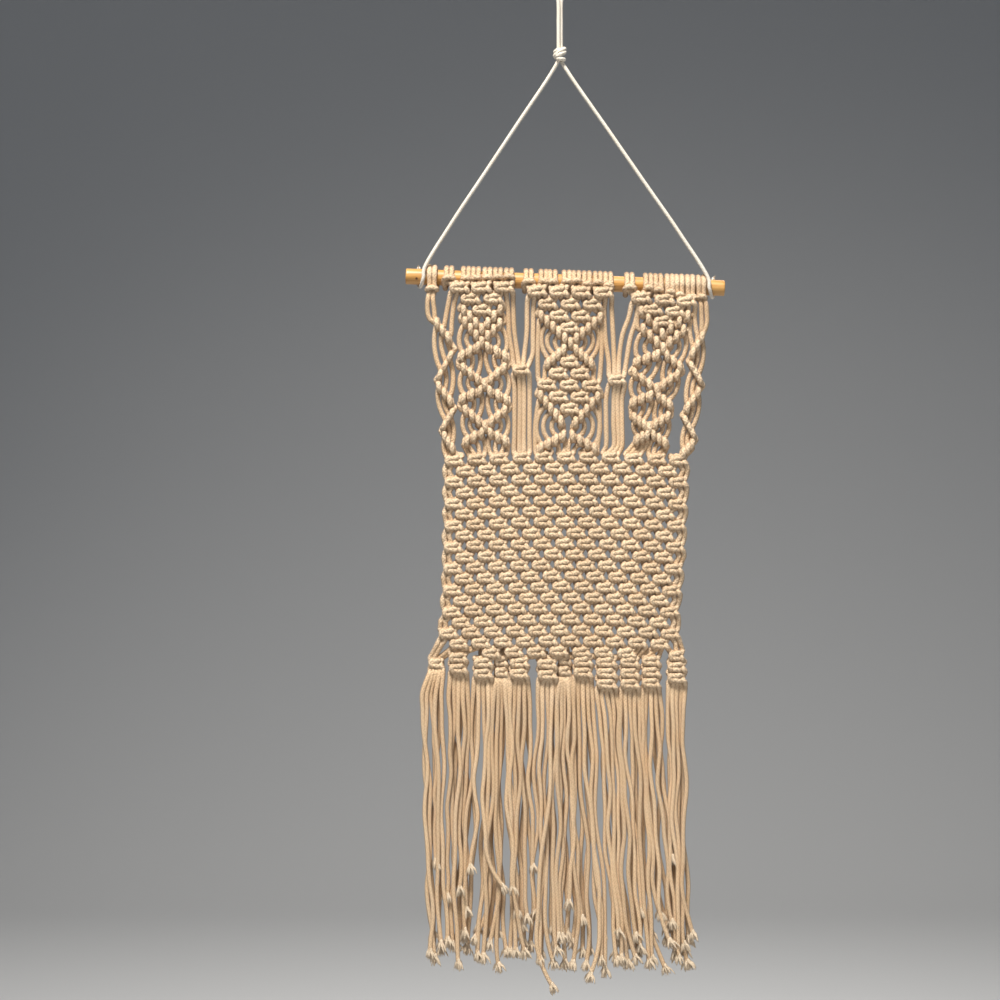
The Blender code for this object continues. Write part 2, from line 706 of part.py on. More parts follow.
def hanger_loop(finish):
    """The doubled end above the knot, opened into a loop over the nail."""
    near = HANGER * 0.56
    half = LOOP_WIDTH / 2
    foot = KNOT_TOP_Z + GAP
    top = HANGER / 2
    right = [Vector((near, 0.0, foot)), Vector((near, 0.0, foot + 18.0)),
             Vector((near + 0.3, 0.0, foot + 36.0)), Vector((half - 0.6, 0.0, foot + 49.0)),
             Vector((half, 0.0, top - 5.0)), Vector((half * 0.72, 0.0, top - 1.4))]
    left = [Vector((-point.x, point.y, point.z)) for point in reversed(right)]
    cord("hanger_loop", [*right, Vector((0.0, 0.0, top)), *left], HANGER, finish)


def build():
    """Clear the scene and model every piece."""
    for piece in list(bpy.data.objects):
        bpy.data.objects.remove(piece)
    wood = material("rod_wood", (0.74, 0.42, 0.16), 0.5)
    cotton = material("cotton_cord", (0.80, 0.66, 0.46), 0.9)
    rod(wood)
    macrame_panel(cotton)
    fringe(cotton)
    hanger_leg("hanger_left_leg", LEG_LEFT_X, -1.0, cotton)
    hanger_leg("hanger_right_leg", LEG_RIGHT_X, 1.0, cotton)
    hanger_knot(cotton)
    hanger_loop(cotton)


build()
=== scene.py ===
"""Looks of the macrame wall hanging: its knotted cords, wooden rod and hanging cord.

Metres for Blender, millimetres from the nail in the tables: x to the right, z up, y to the back.
"""

import logging
import math
import random
from dataclasses import dataclass, field
from enum import Enum

import bpy
import numpy as np
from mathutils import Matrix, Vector


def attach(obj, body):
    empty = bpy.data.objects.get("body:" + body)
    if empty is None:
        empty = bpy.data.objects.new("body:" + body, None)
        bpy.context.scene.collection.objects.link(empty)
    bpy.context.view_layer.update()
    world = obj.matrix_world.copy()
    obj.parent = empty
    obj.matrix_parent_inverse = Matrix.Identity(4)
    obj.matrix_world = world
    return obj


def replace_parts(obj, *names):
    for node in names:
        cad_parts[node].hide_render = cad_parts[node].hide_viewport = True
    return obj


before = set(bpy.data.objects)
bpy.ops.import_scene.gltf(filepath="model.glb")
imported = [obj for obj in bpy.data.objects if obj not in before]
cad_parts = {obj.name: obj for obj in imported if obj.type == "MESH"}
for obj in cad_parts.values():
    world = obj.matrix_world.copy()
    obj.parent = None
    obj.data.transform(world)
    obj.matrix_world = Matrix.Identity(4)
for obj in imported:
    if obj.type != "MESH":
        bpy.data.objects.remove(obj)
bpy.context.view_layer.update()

log = logging.getLogger("wall_hanging")

MM = 0.001
BODY = "root"
CORD = 4.0
LACE_Y = -7.0  # the knotted body hangs from the front of the rod
HEADING_Y = -10.6  # its heading lies further forward
BELOW_ROD = 8.0  # from here down it swings back
EASE = 14.0  # over about this height
UNEVEN = random.Random(22)  # the one source of the knots' and strands' small unevenness

Pair = tuple[float, float]
Triple = tuple[float, float, float]
Arms = tuple[tuple[Pair, Pair, Pair], ...]
Material = bpy.types.Material
Node = bpy.types.Node
Piece = bpy.types.Object
Socket = bpy.types.NodeSocket


class Slot(Enum):
    """The record's material slots."""

    ROD = "rod_wood"
    MACRAME = "cotton_cord"
    HANGER = "hanging_cord"


@dataclass(frozen=True)
class RodLine:
    """Where the rod lies: its middle line, which falls a little to the right."""

    length: float = 256.0
    diameter: float = 12.7
    x: float = 4.3
    z: float = -249.2
    tilt: float = math.radians(2.13)

    def height(self, x: float) -> float:
        """Return the height of the middle line at x."""
        return self.z - (x - self.x) * math.tan(self.tilt)


ROD_LINE = RodLine()


def body_y(z: float) -> float:
    """Return the depth of the middle of the knots at a height."""
    below = max(0.0, (ROD_LINE.z - BELOW_ROD) - z)
    return LACE_Y + (HEADING_Y - LACE_Y) * math.exp(-below / EASE)


# ---- strands and tubes


@dataclass
class Strand:
    """One strand of cord: its waypoints from the rod down, in millimetres."""

    points: list[Triple] = field(default_factory=list)
    tied: list[float] = field(default_factory=list)
    bow: float = 0.0
    close: float = 1.4  # waypoints nearer than this become one
    long: float = 6.0  # a run between two knots past this bows

    def through(self, x: float, y: float, z: float, tied: float = 1.0) -> None:
        """Add a waypoint, and bowed ones before it where the run to it is long.

        Args:
            x: Place across.
            y: Depth.
            z: Height.
            tied: 1 in a knot, 0 where the strand hangs free.
        """
        if self.points:
            px, py, pz = self.points[-1]
            run = math.dist((px, py, pz), (x, y, z))
            if run < self.close:
                self.points[-1] = ((px + x) / 2, (py + y) / 2, (pz + z) / 2)
                return
            if run > self.long and self.tied[-1] > 0.5 and tied > 0.5:
                for share, side in ((0.22, 0.72), (0.5, 1.0), (0.78, 0.72)):
                    self.points.append((px + (x - px) * share + self.bow * run * side,
                                        py + (y - py) * share, pz + (z - pz) * share))
                    self.tied.append(0.0)
                self.bow = 0.0
        self.points.append((x, y, z))
        self.tied.append(tied)

    def at(self, x: float, z: float, tied: float = 1.0, behind: float = 0.0) -> None:
        """Add a waypoint at the body's own depth there, or a little behind it."""
        self.through(x, body_y(z) + behind, z, tied)


def distances(points: np.ndarray) -> np.ndarray:
    """Return how far along its line each point lies."""
    return np.concatenate([[0.0], np.cumsum(np.linalg.norm(np.diff(points, axis=0), axis=1))])


@dataclass
class Route:
    """A smooth line through waypoints, with how tightly it is tied at each point."""

    points: np.ndarray
    tied: np.ndarray

    @staticmethod
    def smooth(waypoints: list[Triple], tied: list[float] | float, longest: float = 4.2,
               bend: float = 0.42) -> "Route":
        """Lay a smooth line through the waypoints, with more points where it bends.

        Args:
            waypoints: The points that the line goes through.
            tied: How tightly it is tied at each, or all along.
            longest: The longest step on a straight run.
            bend: The most that it turns in one step, in radians.

        Returns:
            The line.
        """
        p, q = np.array(waypoints, float), np.ones(len(waypoints)) * tied
        p = np.vstack([2 * p[0] - p[1], p, 2 * p[-1] - p[-2]])
        p0, p1, p2, p3 = p[:-3], p[1:-2], p[2:-1], p[3:]

        def spread(a: np.ndarray, b: np.ndarray) -> np.ndarray:
            """Return the root of each distance, as a column."""
            return np.sqrt(np.maximum(np.linalg.norm(b - a, axis=1), 1e-3))[:, None]

        t01, t12, t23 = spread(p0, p1), spread(p1, p2), spread(p2, p3)
        m1 = (p2 - p1) + t12 * ((p1 - p0) / t01 - (p2 - p0) / (t01 + t12))
        m2 = (p2 - p1) + t12 * ((p3 - p2) / t23 - (p3 - p1) / (t12 + t23))
        u1, u2 = (m / np.linalg.norm(m, axis=1)[:, None] for m in (m1, m2))
        turn = np.arccos(np.clip((u1 * u2).sum(axis=1), -1.0, 1.0))
        length = np.linalg.norm(p2 - p1, axis=1)
        count = np.clip(np.ceil(np.maximum(length / longest, turn / bend)), 1, 12).astype(int)
        which = np.repeat(np.arange(len(count)), count)
        start = np.concatenate([[0], np.cumsum(count)[:-1]])
        t = ((np.arange(len(which)) - start[which]) / count[which])[:, None]
        a, b = 2 * (p1 - p2) + m1 + m2, -3 * (p1 - p2) - 2 * m1 - m2
        line = ((a[which] * t + b[which]) * t + m1[which]) * t + p1[which]
        tight = q[which] * (1 - t[:, 0]) + q[which + 1] * t[:, 0]
        return Route(np.vstack([line, p2[-1]]), np.append(tight, q[-1]))


def show(name: str, data: bpy.types.ID) -> Piece:
    """Put an object in the scene.

    Args:
        name: Its name.
        data: The mesh, light or camera that it shows.

    Returns:
        The object.
    """
    shown = bpy.data.objects.new(name, data)
    bpy.context.scene.collection.objects.link(shown)
    return shown


def place(name: str, mesh: bpy.types.Mesh, slot: Slot, material: Material) -> Piece:
    """Put a mesh in the scene as a piece that rides on the body.

    Args:
        name: The piece's name.
        mesh: Its mesh.
        slot: The record's slot that its finish stands for; not used.
        material: Its finish.

    Returns:
        The piece.
    """
    mesh.shade_smooth()
    mesh.materials.append(material)
    piece = show(name, mesh)
    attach(piece, BODY)
    return piece


@dataclass
class Tube:
    """Closed tubes along routes, gathered into one mesh."""

    sides: int = 8
    ply: float = CORD  # the cord's diameter, which scales its plait along it
    verts: list[np.ndarray] = field(default_factory=list)
    faces: list[tuple[int, ...]] = field(default_factory=list)
    uvs: list[np.ndarray] = field(default_factory=list)
    tied: list[np.ndarray] = field(default_factory=list)
    flanks: list[np.ndarray] = field(default_factory=list)
    made: int = 0

    def sweep(self, route: Route, radii: np.ndarray | float) -> None:
        """Add one closed tube.

        Args:
            route: The line that it follows.
            radii: Its radius at each point, or all along.
        """
        points = route.points
        run = np.gradient(points, axis=0)
        run /= np.maximum(np.linalg.norm(run, axis=1), 1e-9)[:, None]
        tangents = [Vector(r) for r in run]
        side = tangents[0].orthogonal().normalized()
        sides = [side.copy()]
        for before, after in zip(tangents, tangents[1:]):
            side.rotate(before.rotation_difference(after))
            sides.append(side.copy())
        across = np.array(sides)
        deep = np.cross(run, across)
        n, m, base = len(points), self.sides, self.made
        angle = np.arange(m) * (math.tau / m)
        out = (np.cos(angle)[None, :, None] * across[:, None, :]
               + np.sin(angle)[None, :, None] * deep[:, None, :])
        rings = points[:, None, :] + (np.ones(n) * radii)[:, None, None] * out
        self.verts.append(rings.reshape(-1, 3))
        self.tied.append(np.repeat(route.tied, m))
        # flanks: how far each point faces sideways; the finish paints shade there
        self.flanks.append(1.0 - np.abs(out[:, :, 1]).ravel())
        along = distances(points) / self.ply
        i, k = np.repeat(np.arange(n - 1), m), np.tile(np.arange(m), n - 1)
        corners = ((i, k), (i, k + 1), (i + 1, k + 1), (i + 1, k))
        quads = np.stack([base + level * m + lane % m for level, lane in corners], axis=1)
        self.faces.extend(map(tuple, quads.tolist()))
        self.uvs.append(np.stack([np.stack([lane / m, along[level]], axis=1)
                                  for level, lane in corners], axis=1).reshape(-1, 2))
        for ring, order in ((0, range(m - 1, -1, -1)), (n - 1, range(m))):
            self.faces.append(tuple(base + ring * m + j for j in order))
            self.uvs.append(np.array([[j / m, along[ring]] for j in order]))
        self.made += n * m

    def piece(self, name: str, slot: Slot, material: Material, tone: float = 0.0) -> Piece:
        """Make the gathered tubes one piece.

        Args:
            name: The piece's name.
            slot: The record's slot that its finish stands for.
            material: Its finish.
            tone: How much darker this cord is, from 0 to 1.

        Returns:
            The piece.
        """
        mesh = bpy.data.meshes.new(name)
        mesh.from_pydata((np.vstack(self.verts) * MM).tolist(), [], self.faces)
        layer = mesh.uv_layers.new(name="cord_uv")
        layer.data.foreach_set("uv", np.vstack(self.uvs).astype(np.float32).ravel())
        for label, values in (("tied", np.concatenate(self.tied)),
                              ("flank", np.concatenate(self.flanks)),
                              ("tone", np.full(self.made, tone))):
            layer = mesh.attributes.new(label, "FLOAT", "POINT")
            layer.data.foreach_set("value", values.astype(np.float32))
        return place(name, mesh, slot, material)


# ---- knots


@dataclass(frozen=True)
class SquareKnot:
    """A square knot on one core strand or more, its bump on the left.

    The tables are in cord diameters from the knot's middle: across, deep and up.
    """

    height: float = 8.5
    half: float = 8.5  # half the usual spacing across
    depth: float = 0.84
    crossing: tuple[Triple, ...] = (
        (-1.6, 0.15, 0.98), (-1.42, -0.1, 0.62), (-0.95, -0.72, 0.38), (-0.42, -1.02, 0.42),
        (0.15, -1.12, 0.5), (0.68, -0.9, 0.58), (1.08, -0.1, 0.42), (1.22, 0.35, 0.03),
        (1.1, -0.1, -0.36), (0.66, -0.82, -0.54), (0.1, -1.05, -0.47), (-0.48, -0.95, -0.42),
        (-0.95, -0.5, -0.46), (-1.36, 0.1, -0.64), (-1.6, 0.2, -0.98),
    )
    wrapping: tuple[Triple, ...] = (
        (1.6, 0.1, 0.98), (1.42, -0.35, 0.62), (1.16, -0.5, 0.28), (0.8, 0.3, 0.14),
        (0.25, 0.9, 0.3), (-0.4, 0.95, 0.44), (-0.9, 0.45, 0.6), (-1.05, -0.4, 0.7),
        (-1.24, -1.0, 0.4), (-1.38, -0.98, 0.0), (-1.24, -0.95, -0.42), (-1.05, -0.3, -0.7),
        (-0.85, 0.5, -0.56), (-0.25, 0.95, -0.42), (0.4, 0.85, -0.28), (0.9, 0.15, -0.08),
        (1.14, -0.72, -0.2), (1.34, -1.05, -0.52), (1.64, -0.66, -0.9),
    )

    def tie(self, strands: list[Strand], x: float, z: float, height: float, width: float,
            slope: float, forward: float = 0.0) -> None:
        """Tie the knot.

        Args:
            strands: From left to right: one strand, the cores, the other strand.
            x: The knot's middle across.
            z: Its middle in height.
            height: How high it is.
            width: How much wider than usual it is.
            slope: How much it rises for each step across.
            forward: How far in front of the body it hangs.
        """
        high = height / self.height
        y = body_y(z) - forward
        cores = strands[1:-1]
        for strand, table in ((strands[0], self.crossing), (strands[-1], self.wrapping)):
            for u, v, w in table:
                across = u * CORD * width
                strand.through(x + across, y + v * CORD * self.depth,
                               z + w * CORD * high + across * slope)
        spread = 0.9 * width if len(cores) == 2 else 1.7 * width / len(cores)
        for k, core in enumerate(cores):
            across = (k - (len(cores) - 1) / 2) * spread * CORD
            for w in (0.95, 0.4, -0.4, -0.95):
                core.through(x + across, y - 0.6, z + w * CORD * high + across * slope)


@dataclass(frozen=True)
class DoubleHalfHitch:
    """Two turns of a strand round a carrier, the first one proud and the second tucked in.

    The table is in cord diameters: along the carrier, up the turn, and deep.
    """

    width: float = 6.9
    tucked: float = 0.6  # how far behind its turns the carrier runs
    depth: float = 0.84
    turns: tuple[Triple, ...] = (
        (0.3, 1.15, 0.25), (0.1, 0.8, 0.75), (0.0, 0.0, 0.95), (0.0, -0.7, 0.6),
        (0.0, -0.88, -0.25), (0.0, -0.66, -1.0), (0.0, 0.0, -1.24), (0.0, 0.66, -1.0),
        (0.0, 0.88, -0.2), (0.2, 0.7, 0.5), (0.4, 0.0, 0.8), (0.5, -0.55, 0.4),
        (0.52, -0.64, -0.15), (0.52, 0.0, -0.45), (0.5, 0.6, -0.1), (0.3, 0.45, 0.5),
        (0.0, -0.1, 0.95), (-0.3, -0.72, 0.6), (-0.5, -1.1, 0.15),
    )

    def tie(self, strand: Strand, x: float, z: float, along: Pair, squeeze: float,
            tilt: float) -> None:
        """Tie one strand on the carrier.

        Args:
            strand: The strand that turns round the carrier.
            x: The middle of the hitch across.
            z: Its middle in height.
            along: The carrier's direction in the sheet, a unit vector.
            squeeze: How wide the hitch is, against its usual width.
            tilt: How far the turn leans back from upright, in degrees.
        """
        ax, az = along
        lean = math.radians(tilt)
        bx, bz = -math.copysign(math.sin(lean), ax), math.cos(lean)
        y = body_y(z)
        for s, n, v in self.turns:
            s, n = s * squeeze * CORD, n * CORD
            strand.through(x + s * ax + n * bx, y + v * CORD * self.depth, z + s * az + n * bz)


SQUARE = SquareKnot()
HITCH = DoubleHalfHitch()


def tie_arm(order: list[Strand], first: Pair, last: Pair, bows: tuple[float, ...],
            tilt: float) -> list[Strand]:
    """Tie one line of double half hitches.

    Args:
        order: The carrier, then the strands in the order that it meets them.
        first: The middle of the first hitch, across and up.
        last: The middle of the last one.
        bows: How far each tied strand bows out below the line, as a share of its run.
        tilt: How far the turns lean back from upright, in degrees.

    Returns:
        The strands in their new order along the line, the carrier last.
    """
    carrier, tied = order[0], order[1:]
    dx, dz = last[0] - first[0], last[1] - first[1]
    length, steps = math.hypot(dx, dz), len(tied) - 1
    for k, strand in enumerate(tied):
        x, z = first[0] + dx * k / steps, first[1] + dz * k / steps
        carrier.at(x, z, behind=HITCH.tucked)
        HITCH.tie(strand, x, z, (dx / length, dz / length), length / steps / HITCH.width, tilt)
        strand.bow = -math.copysign(bows[min(k, len(bows) - 1)], dx)
    return tied + [carrier]


@dataclass(frozen=True)
class Chevron:
    """One row of hitches from two edges to a middle, or from the middle to the edges.

    left and right are the outermost hitches. other is the right arm's own middle where the arms
    don't meet, and spare counts the strands at each edge that hang past the row.
    """

    left: Pair
    right: Pair
    middle: Pair
    lean: float = 7.0
    other: Pair | None = None
    spare: int = 0
    out: tuple[float, ...] = (0.13, 0.2, 0.25)  # how the strands bow under a row that falls
    back: tuple[float, ...] = (0.08, 0.11, 0.0)  # and under one that rises to its middle

    def falling(self, order: list[Strand], edge: Pair, middle: Pair) -> list[Strand]:
        """Tie the arm that falls from one edge to the middle.

        Args:
            order: The carrier at the edge, then the strands toward the middle.
            edge: The outermost hitch.
            middle: Where the arm ends.

        Returns:
            The strands in their new order, the carrier last.
        """
        rest = 1.0 if self.other is None else 0.55
        share = (len(order) - 2) / (len(order) - 2 + rest)
        dx, dz = middle[0] - edge[0], middle[1] - edge[1]
        step = math.hypot(dx, dz) / (len(order) - 1)
        side = math.copysign(step, dx)
        order[0].through(edge[0] - 0.5 * side, body_y(edge[1]), edge[1] + 0.1 * step)
        end = (edge[0] + dx * share, edge[1] + dz * share)
        return tie_arm(order, edge, end, self.out, self.lean)

    def rising(self, order: list[Strand], middle: Pair, edge: Pair) -> list[Strand]:
        """Tie the arm that falls from the middle to one edge.

        Args:
            order: The carrier at the middle, then the strands toward the edge.
            middle: Where the arm starts.
            edge: The outermost hitch.

        Returns:
            The strands in their new order, the carrier last.
        """
        share = 0.6 / (len(order) - 1.4)
        dx, dz = edge[0] - middle[0], edge[1] - middle[1]
        step = math.hypot(dx, dz) / (len(order) - 1.4)
        start = (middle[0] + dx * share, middle[1] + dz * share)
        done = tie_arm(order, start, edge, self.back, self.lean)
        done[-1].at(edge[0] + math.copysign(0.4 * step, dx), edge[1] - 0.5 * step)
        return done

    def tie(self, slots: list[Strand]) -> list[Strand]:
        """Tie the row.

        Args:
            slots: The panel's strands from left to right.

        Returns:
            The strands in their new order.
        """
        edge, inner = self.spare, slots[self.spare:len(slots) - self.spare]
        half = len(inner) // 2
        second = self.other or self.middle
        if self.left[1] < self.middle[1]:
            left = self.rising(inner[:half][::-1], self.middle, self.left)[::-1]
            right = self.rising(inner[half:], second, self.right)
        else:
            left = self.falling(inner[:half], self.left, self.middle)
            right = self.falling(inner[half:][::-1], self.right, second)[::-1]
            if self.other is None:
                self.cross(left[-1], right[0])
                left[-1], right[0] = right[0], left[-1]
            else:
                left[-1].at(*self.middle)
                right[0].at(*second)
        return slots[:edge] + left + right + slots[len(slots) - edge:]

    def cross(self, under: Strand, over: Strand) -> None:
        """Tie the right arm's carrier round the left one's where the arms meet.

        Args:
            under: The left arm's carrier.
            over: The right arm's carrier.
        """
        dx, dz = self.middle[0] - self.left[0], self.middle[1] - self.left[1]
        length = math.hypot(dx, dz)
        HITCH.tie(over, *self.middle, (dx / length, dz / length), 1.0, self.lean)
        under.at(self.middle[0] + 3.2 * dx / length, self.middle[1] + 3.2 * dz / length)


@dataclass(frozen=True)
class KnotField:
    """Rows of square knots set like bricks.

    x and top place the first row's middle; half is half the knots' spacing.
    """

    x: float
    top: float
    half: float
    drop: float
    slope: float
    counts: tuple[int, ...]
    stray: float = 0.4  # how far a knot may sit from its place
    tilt: float = 0.06  # how much each knot rises across
    uneven: float = 0.05  # give or take this much

    def tie(self, slots: list[Strand]) -> None:
        """Tie the rows on the middle strands of a panel.

        Args:
            slots: The panel's strands from left to right.
        """
        for row, count in enumerate(self.counts):
            for offset in range(1 - count, count, 2):
                x = self.x + offset * self.half
                z = self.top - row * self.drop + (x - self.x) * self.slope
                first = len(slots) // 2 + 2 * offset - 2
                x += UNEVEN.uniform(-self.stray, self.stray)
                tilt = self.tilt + UNEVEN.uniform(-self.uneven, self.uneven)
                SQUARE.tie(slots[first:first + 4], x, z, self.drop, self.half / SQUARE.half, tilt)


# ---- the knotted body


@dataclass
class Heading:
    """The 22 lark's heads that hold the doubled cords on the rod.

    drops says how far below the rod's middle each head's bar sits.
    """

    places: tuple[float, ...] = (
        -102.4, -88.8, -75.2, -67.2, -58.0, -49.6, -40.8, -25.0, -13.0, -5.8, 5.6, 13.2, 21.6,
        30.4, 38.6, 55.8, 70.8, 78.8, 88.0, 95.6, 104.2, 113.0,
    )
    drops: tuple[float, ...] = (
        9.6, 0.9, 0.9, 0.3, -0.5, -1.1, -1.8, 1.4, 1.0, 0.9, 0.2, -0.5, 1.8, 0.2, 2.2, 3.0, 3.0,
        4.2, 5.6, 7.4, 9.0, 8.6,
    )
    ring: float = 8.2
    top_turn: float = 352.0  # where a strand leaves the rod's front, in degrees
    steps: int = 8

    def hang(self, k: int, side: float) -> Strand:
        """Lead one strand from the middle of its head's bar round the rod and down.

        Args:
            k: The head's number from the left.
            side: -1 for its left strand, 1 for its right one.

        Returns:
            The strand, just under the rod.
        """
        strand, x, drop = Strand(), self.places[k], self.drops[k]
        gaps = [abs(x - p) for i, p in enumerate(self.places) if i != k]
        half = min(3.5, max(2.3, min(gaps) / 2 - 1.7))
        lane = min(2.05, half)
        rod = ROD_LINE.height(x)
        bar = rod - drop
        front = -self.ring if drop < 7.0 else -self.ring + 1.0
        strand.through(x, front - 3.7, bar + 0.5)
        strand.through(x + side * half * 0.7, front - 3.3, bar + 0.3)
        strand.through(x + side * (half + 0.4), front - 1.2, bar - 1.2)
        start = max(50.0, math.degrees(math.asin(min(1.0, max(0.0, drop) / 10.0))) + 20.0)
        for degrees in np.linspace(start, self.top_turn, self.steps):
            turn = math.radians(degrees)
            share = (degrees - start) / (self.top_turn - start)
            strand.through(x + side * (half + (lane - half) * min(1.0, share * 2.0)),
                           -self.ring * math.cos(turn), rod - self.ring * math.sin(turn))
        strand.through(x + side * lane * 0.9, front, min(rod - 2.0, bar + 1.5))
        strand.through(x + side * lane * 0.8, front, min(rod - 4.5, bar - 2.0))
        return strand


@dataclass
class Lace:
    """The openwork between the heading and the net."""

    fields: tuple[KnotField, ...] = (
        KnotField(-62.8, -254.4, 9.0, 8.8, 0.0, (3, 2, 1)),
        KnotField(7.6, -258.0, 8.8, 9.4, -0.02, (4, 3, 2, 1)),
        KnotField(82.8, -264.0, 9.1, 8.6, -0.08, (3, 2, 1)),
    )
    diamond: KnotField = KnotField(7.2, -313.6, 8.8, 9.3, -0.02, (1, 2, 3, 2, 1))
    gathers: tuple[Pair, ...] = ((-31.2, -320.0), (45.2, -328.0))
    drops: Triple = (14.0, 34.0, 54.0)  # waypoints under a gather
    bows: Triple = (0.09, 0.08, 0.0)  # how the borders' strands bow
    leans: Pair = (8.0, -20.0)  # how the turns of their arms lean, by turns
    below_gathers: tuple[tuple[float, ...], ...] = (
        (-36.4, -32.4, -28.8, -24.4), (36.8, 42.8, 46.0, 49.6))
    left_rows: tuple[Chevron, ...] = (
        Chevron((-77.0, -272.5), (-47.8, -271.8), (-62.6, -287.8), 2.0),
        Chevron((-76.0, -281.4), (-48.2, -283.2), (-62.6, -297.8), 2.0),
        Chevron((-78.2, -309.0), (-44.2, -309.3), (-62.0, -299.6)),
        Chevron((-77.2, -318.8), (-44.8, -318.4), (-60.4, -332.0), 9.0),
        Chevron((-77.2, -342.8), (-43.2, -344.0), (-60.0, -335.2)),
        Chevron((-75.6, -352.4), (-44.4, -352.8), (-60.0, -365.6), 9.0),
        Chevron((-74.4, -376.8), (-44.0, -376.8), (-59.2, -368.8)),
    )
    right_rows: tuple[Chevron, ...] = (
        Chevron((64.8, -273.2), (102.0, -276.8), (81.6, -291.2), 2.0),
        Chevron((66.4, -288.0), (98.4, -288.8), (82.4, -302.8), 2.0),
        Chevron((62.4, -313.6), (95.6, -317.6), (82.4, -306.4)),
        Chevron((59.6, -323.2), (93.6, -324.0), (77.2, -336.0), 9.0),
        Chevron((59.2, -346.0), (87.2, -348.0), (76.0, -339.2)),
        Chevron((59.6, -358.8), (86.0, -357.6), (71.2, -366.8), 9.0),
        Chevron((61.6, -376.0), (83.6, -378.4), (72.0, -370.4)),
    )
    centre_rows: tuple[Chevron, ...] = (
        Chevron((-15.2, -276.8), (32.0, -278.4), (8.4, -298.8), 2.0, out=(0.02, 0.16, 0.22)),
        Chevron((-9.6, -314.8), (24.8, -315.2), (5.3, -301.8), -8.0, (10.4, -301.8), 1),
        Chevron((-15.6, -340.8), (30.0, -342.0), (2.8, -364.0), 2.0, (10.0, -364.8),
                out=(0.04, 0.16, 0.2)),
        Chevron((-15.2, -382.4), (27.6, -383.2), (6.2, -371.0), -6.0, None, 1),
    )
    left_border: Arms = (
        ((-98.4, -283.2), (-89.6, -294.4), (-84.0, -303.2)),
        ((-88.0, -309.6), (-96.0, -324.0), (-99.2, -328.0)),
        ((-96.8, -333.6), (-88.0, -344.8), (-84.0, -350.4)),
        ((-86.8, -355.0), (-92.4, -364.2), (-95.2, -368.8)),
        ((-92.2, -373.4), (-86.2, -382.6), (-83.2, -387.2)),
    )
    right_border: Arms = (
        ((113.2, -294.2), (106.0, -306.6), (102.4, -312.8)),
        ((105.4, -317.8), (111.4, -327.8), (114.4, -332.8)),
        ((110.2, -338.6), (101.8, -350.2), (97.6, -356.0)),
        ((100.4, -361.0), (106.0, -371.0), (108.8, -376.0)),
        ((105.4, -379.5), (98.5, -386.5), (95.0, -390.0)),
    )
    guides: tuple[tuple[int, tuple[Pair, ...]], ...] = (  # free runs, by strand
        (0, ((-105.4, -262.0), (-106.0, -270.0), (-104.4, -279.0))),
        (1, ((-101.6, -262.0), (-100.6, -272.0), (-99.6, -281.0))),
        (2, ((-88.6, -264.0), (-91.0, -276.0), (-93.2, -287.0))),
        (3, ((-84.4, -266.0), (-86.4, -280.0), (-87.6, -293.0))),
        (12, ((-41.6, -272.0), (-40.6, -292.0), (-38.0, -308.0))),
        (13, ((-37.6, -266.0), (-36.6, -288.0), (-34.0, -308.0))),
        (14, ((-26.2, -268.0), (-26.6, -290.0), (-28.6, -308.0))),
        (15, ((-21.2, -270.0), (-21.6, -296.0), (-21.8, -307.0))),
        (28, ((35.4, -270.0), (36.2, -294.0), (39.2, -316.0))),
        (29, ((41.2, -268.0), (42.4, -292.0), (43.4, -314.0))),
        (30, ((55.0, -278.0), (50.0, -292.0), (47.0, -314.0))),
        (31, ((60.8, -280.0), (56.4, -294.0), (52.6, -316.0))),
        (40, ((103.4, -280.0), (104.2, -294.0), (106.0, -300.0))),
        (41, ((107.6, -276.0), (108.8, -288.0), (110.2, -294.0))),
        (42, ((112.4, -266.0), (113.0, -276.0), (113.4, -284.0))),
        (43, ((116.2, -266.0), (117.4, -276.0), (117.4, -283.0))),
    )

    def border(self, slots: list[Strand], arms: Arms, forward: bool) -> list[Strand]:
        """Tie one border's zigzag.

        Args:
            slots: The border's strands from left to right.
            arms: The first and last hitch of each arm, and the carrier's turn after it.
            forward: True where the carrier starts at the left.

        Returns:
            The strands in their new order from left to right.
        """
        for k, (first, last, corner) in enumerate(arms):
            order = slots if forward else slots[::-1]
            order = tie_arm(order, first, last, self.bows, self.leans[k % 2])
            order[-1].at(*corner)
            slots = order if forward else order[::-1]
            forward = not forward
        return slots

    def tie(self, strands: list[Strand]) -> list[Strand]:
        """Tie the whole openwork.

        Args:
            strands: The 44 strands from left to right.

        Returns:
            The strands in their order at its lower edge.
        """
        for knots, first, last in zip(self.fields, (2, 14, 30), (14, 30, 42)):
            knots.tie(strands[first:last])
        for number, places in self.guides:
            for x, z in places:
                strands[number].at(x, z, 0.0)
        gathers = [strands[12:16], strands[28:32]]
        for group, (x, z), lanes in zip(gathers, self.gathers, self.below_gathers):
            for strand in group:
                strand.bow = 0.0
            SQUARE.tie(group, x, z, 8.5, 0.95, 0.04, 1.0)
            for strand, lane in zip(group, lanes):
                for drop in self.drops:
                    strand.at(lane + UNEVEN.uniform(-0.3, 0.3), z - drop, 0.0)
        left, centre, right = strands[4:12], strands[16:28], strands[32:40]
        for row in self.left_rows:
            left = row.tie(left)
        for k, row in enumerate(self.centre_rows):
            if k == 2:
                self.diamond.tie(centre)
            centre = row.tie(centre)
        for row in self.right_rows:
            right = row.tie(right)
        return (self.border(strands[0:4], self.left_border, True) + left + gathers[0] + centre
                + gathers[1] + right + self.border(strands[40:44], self.right_border, False))


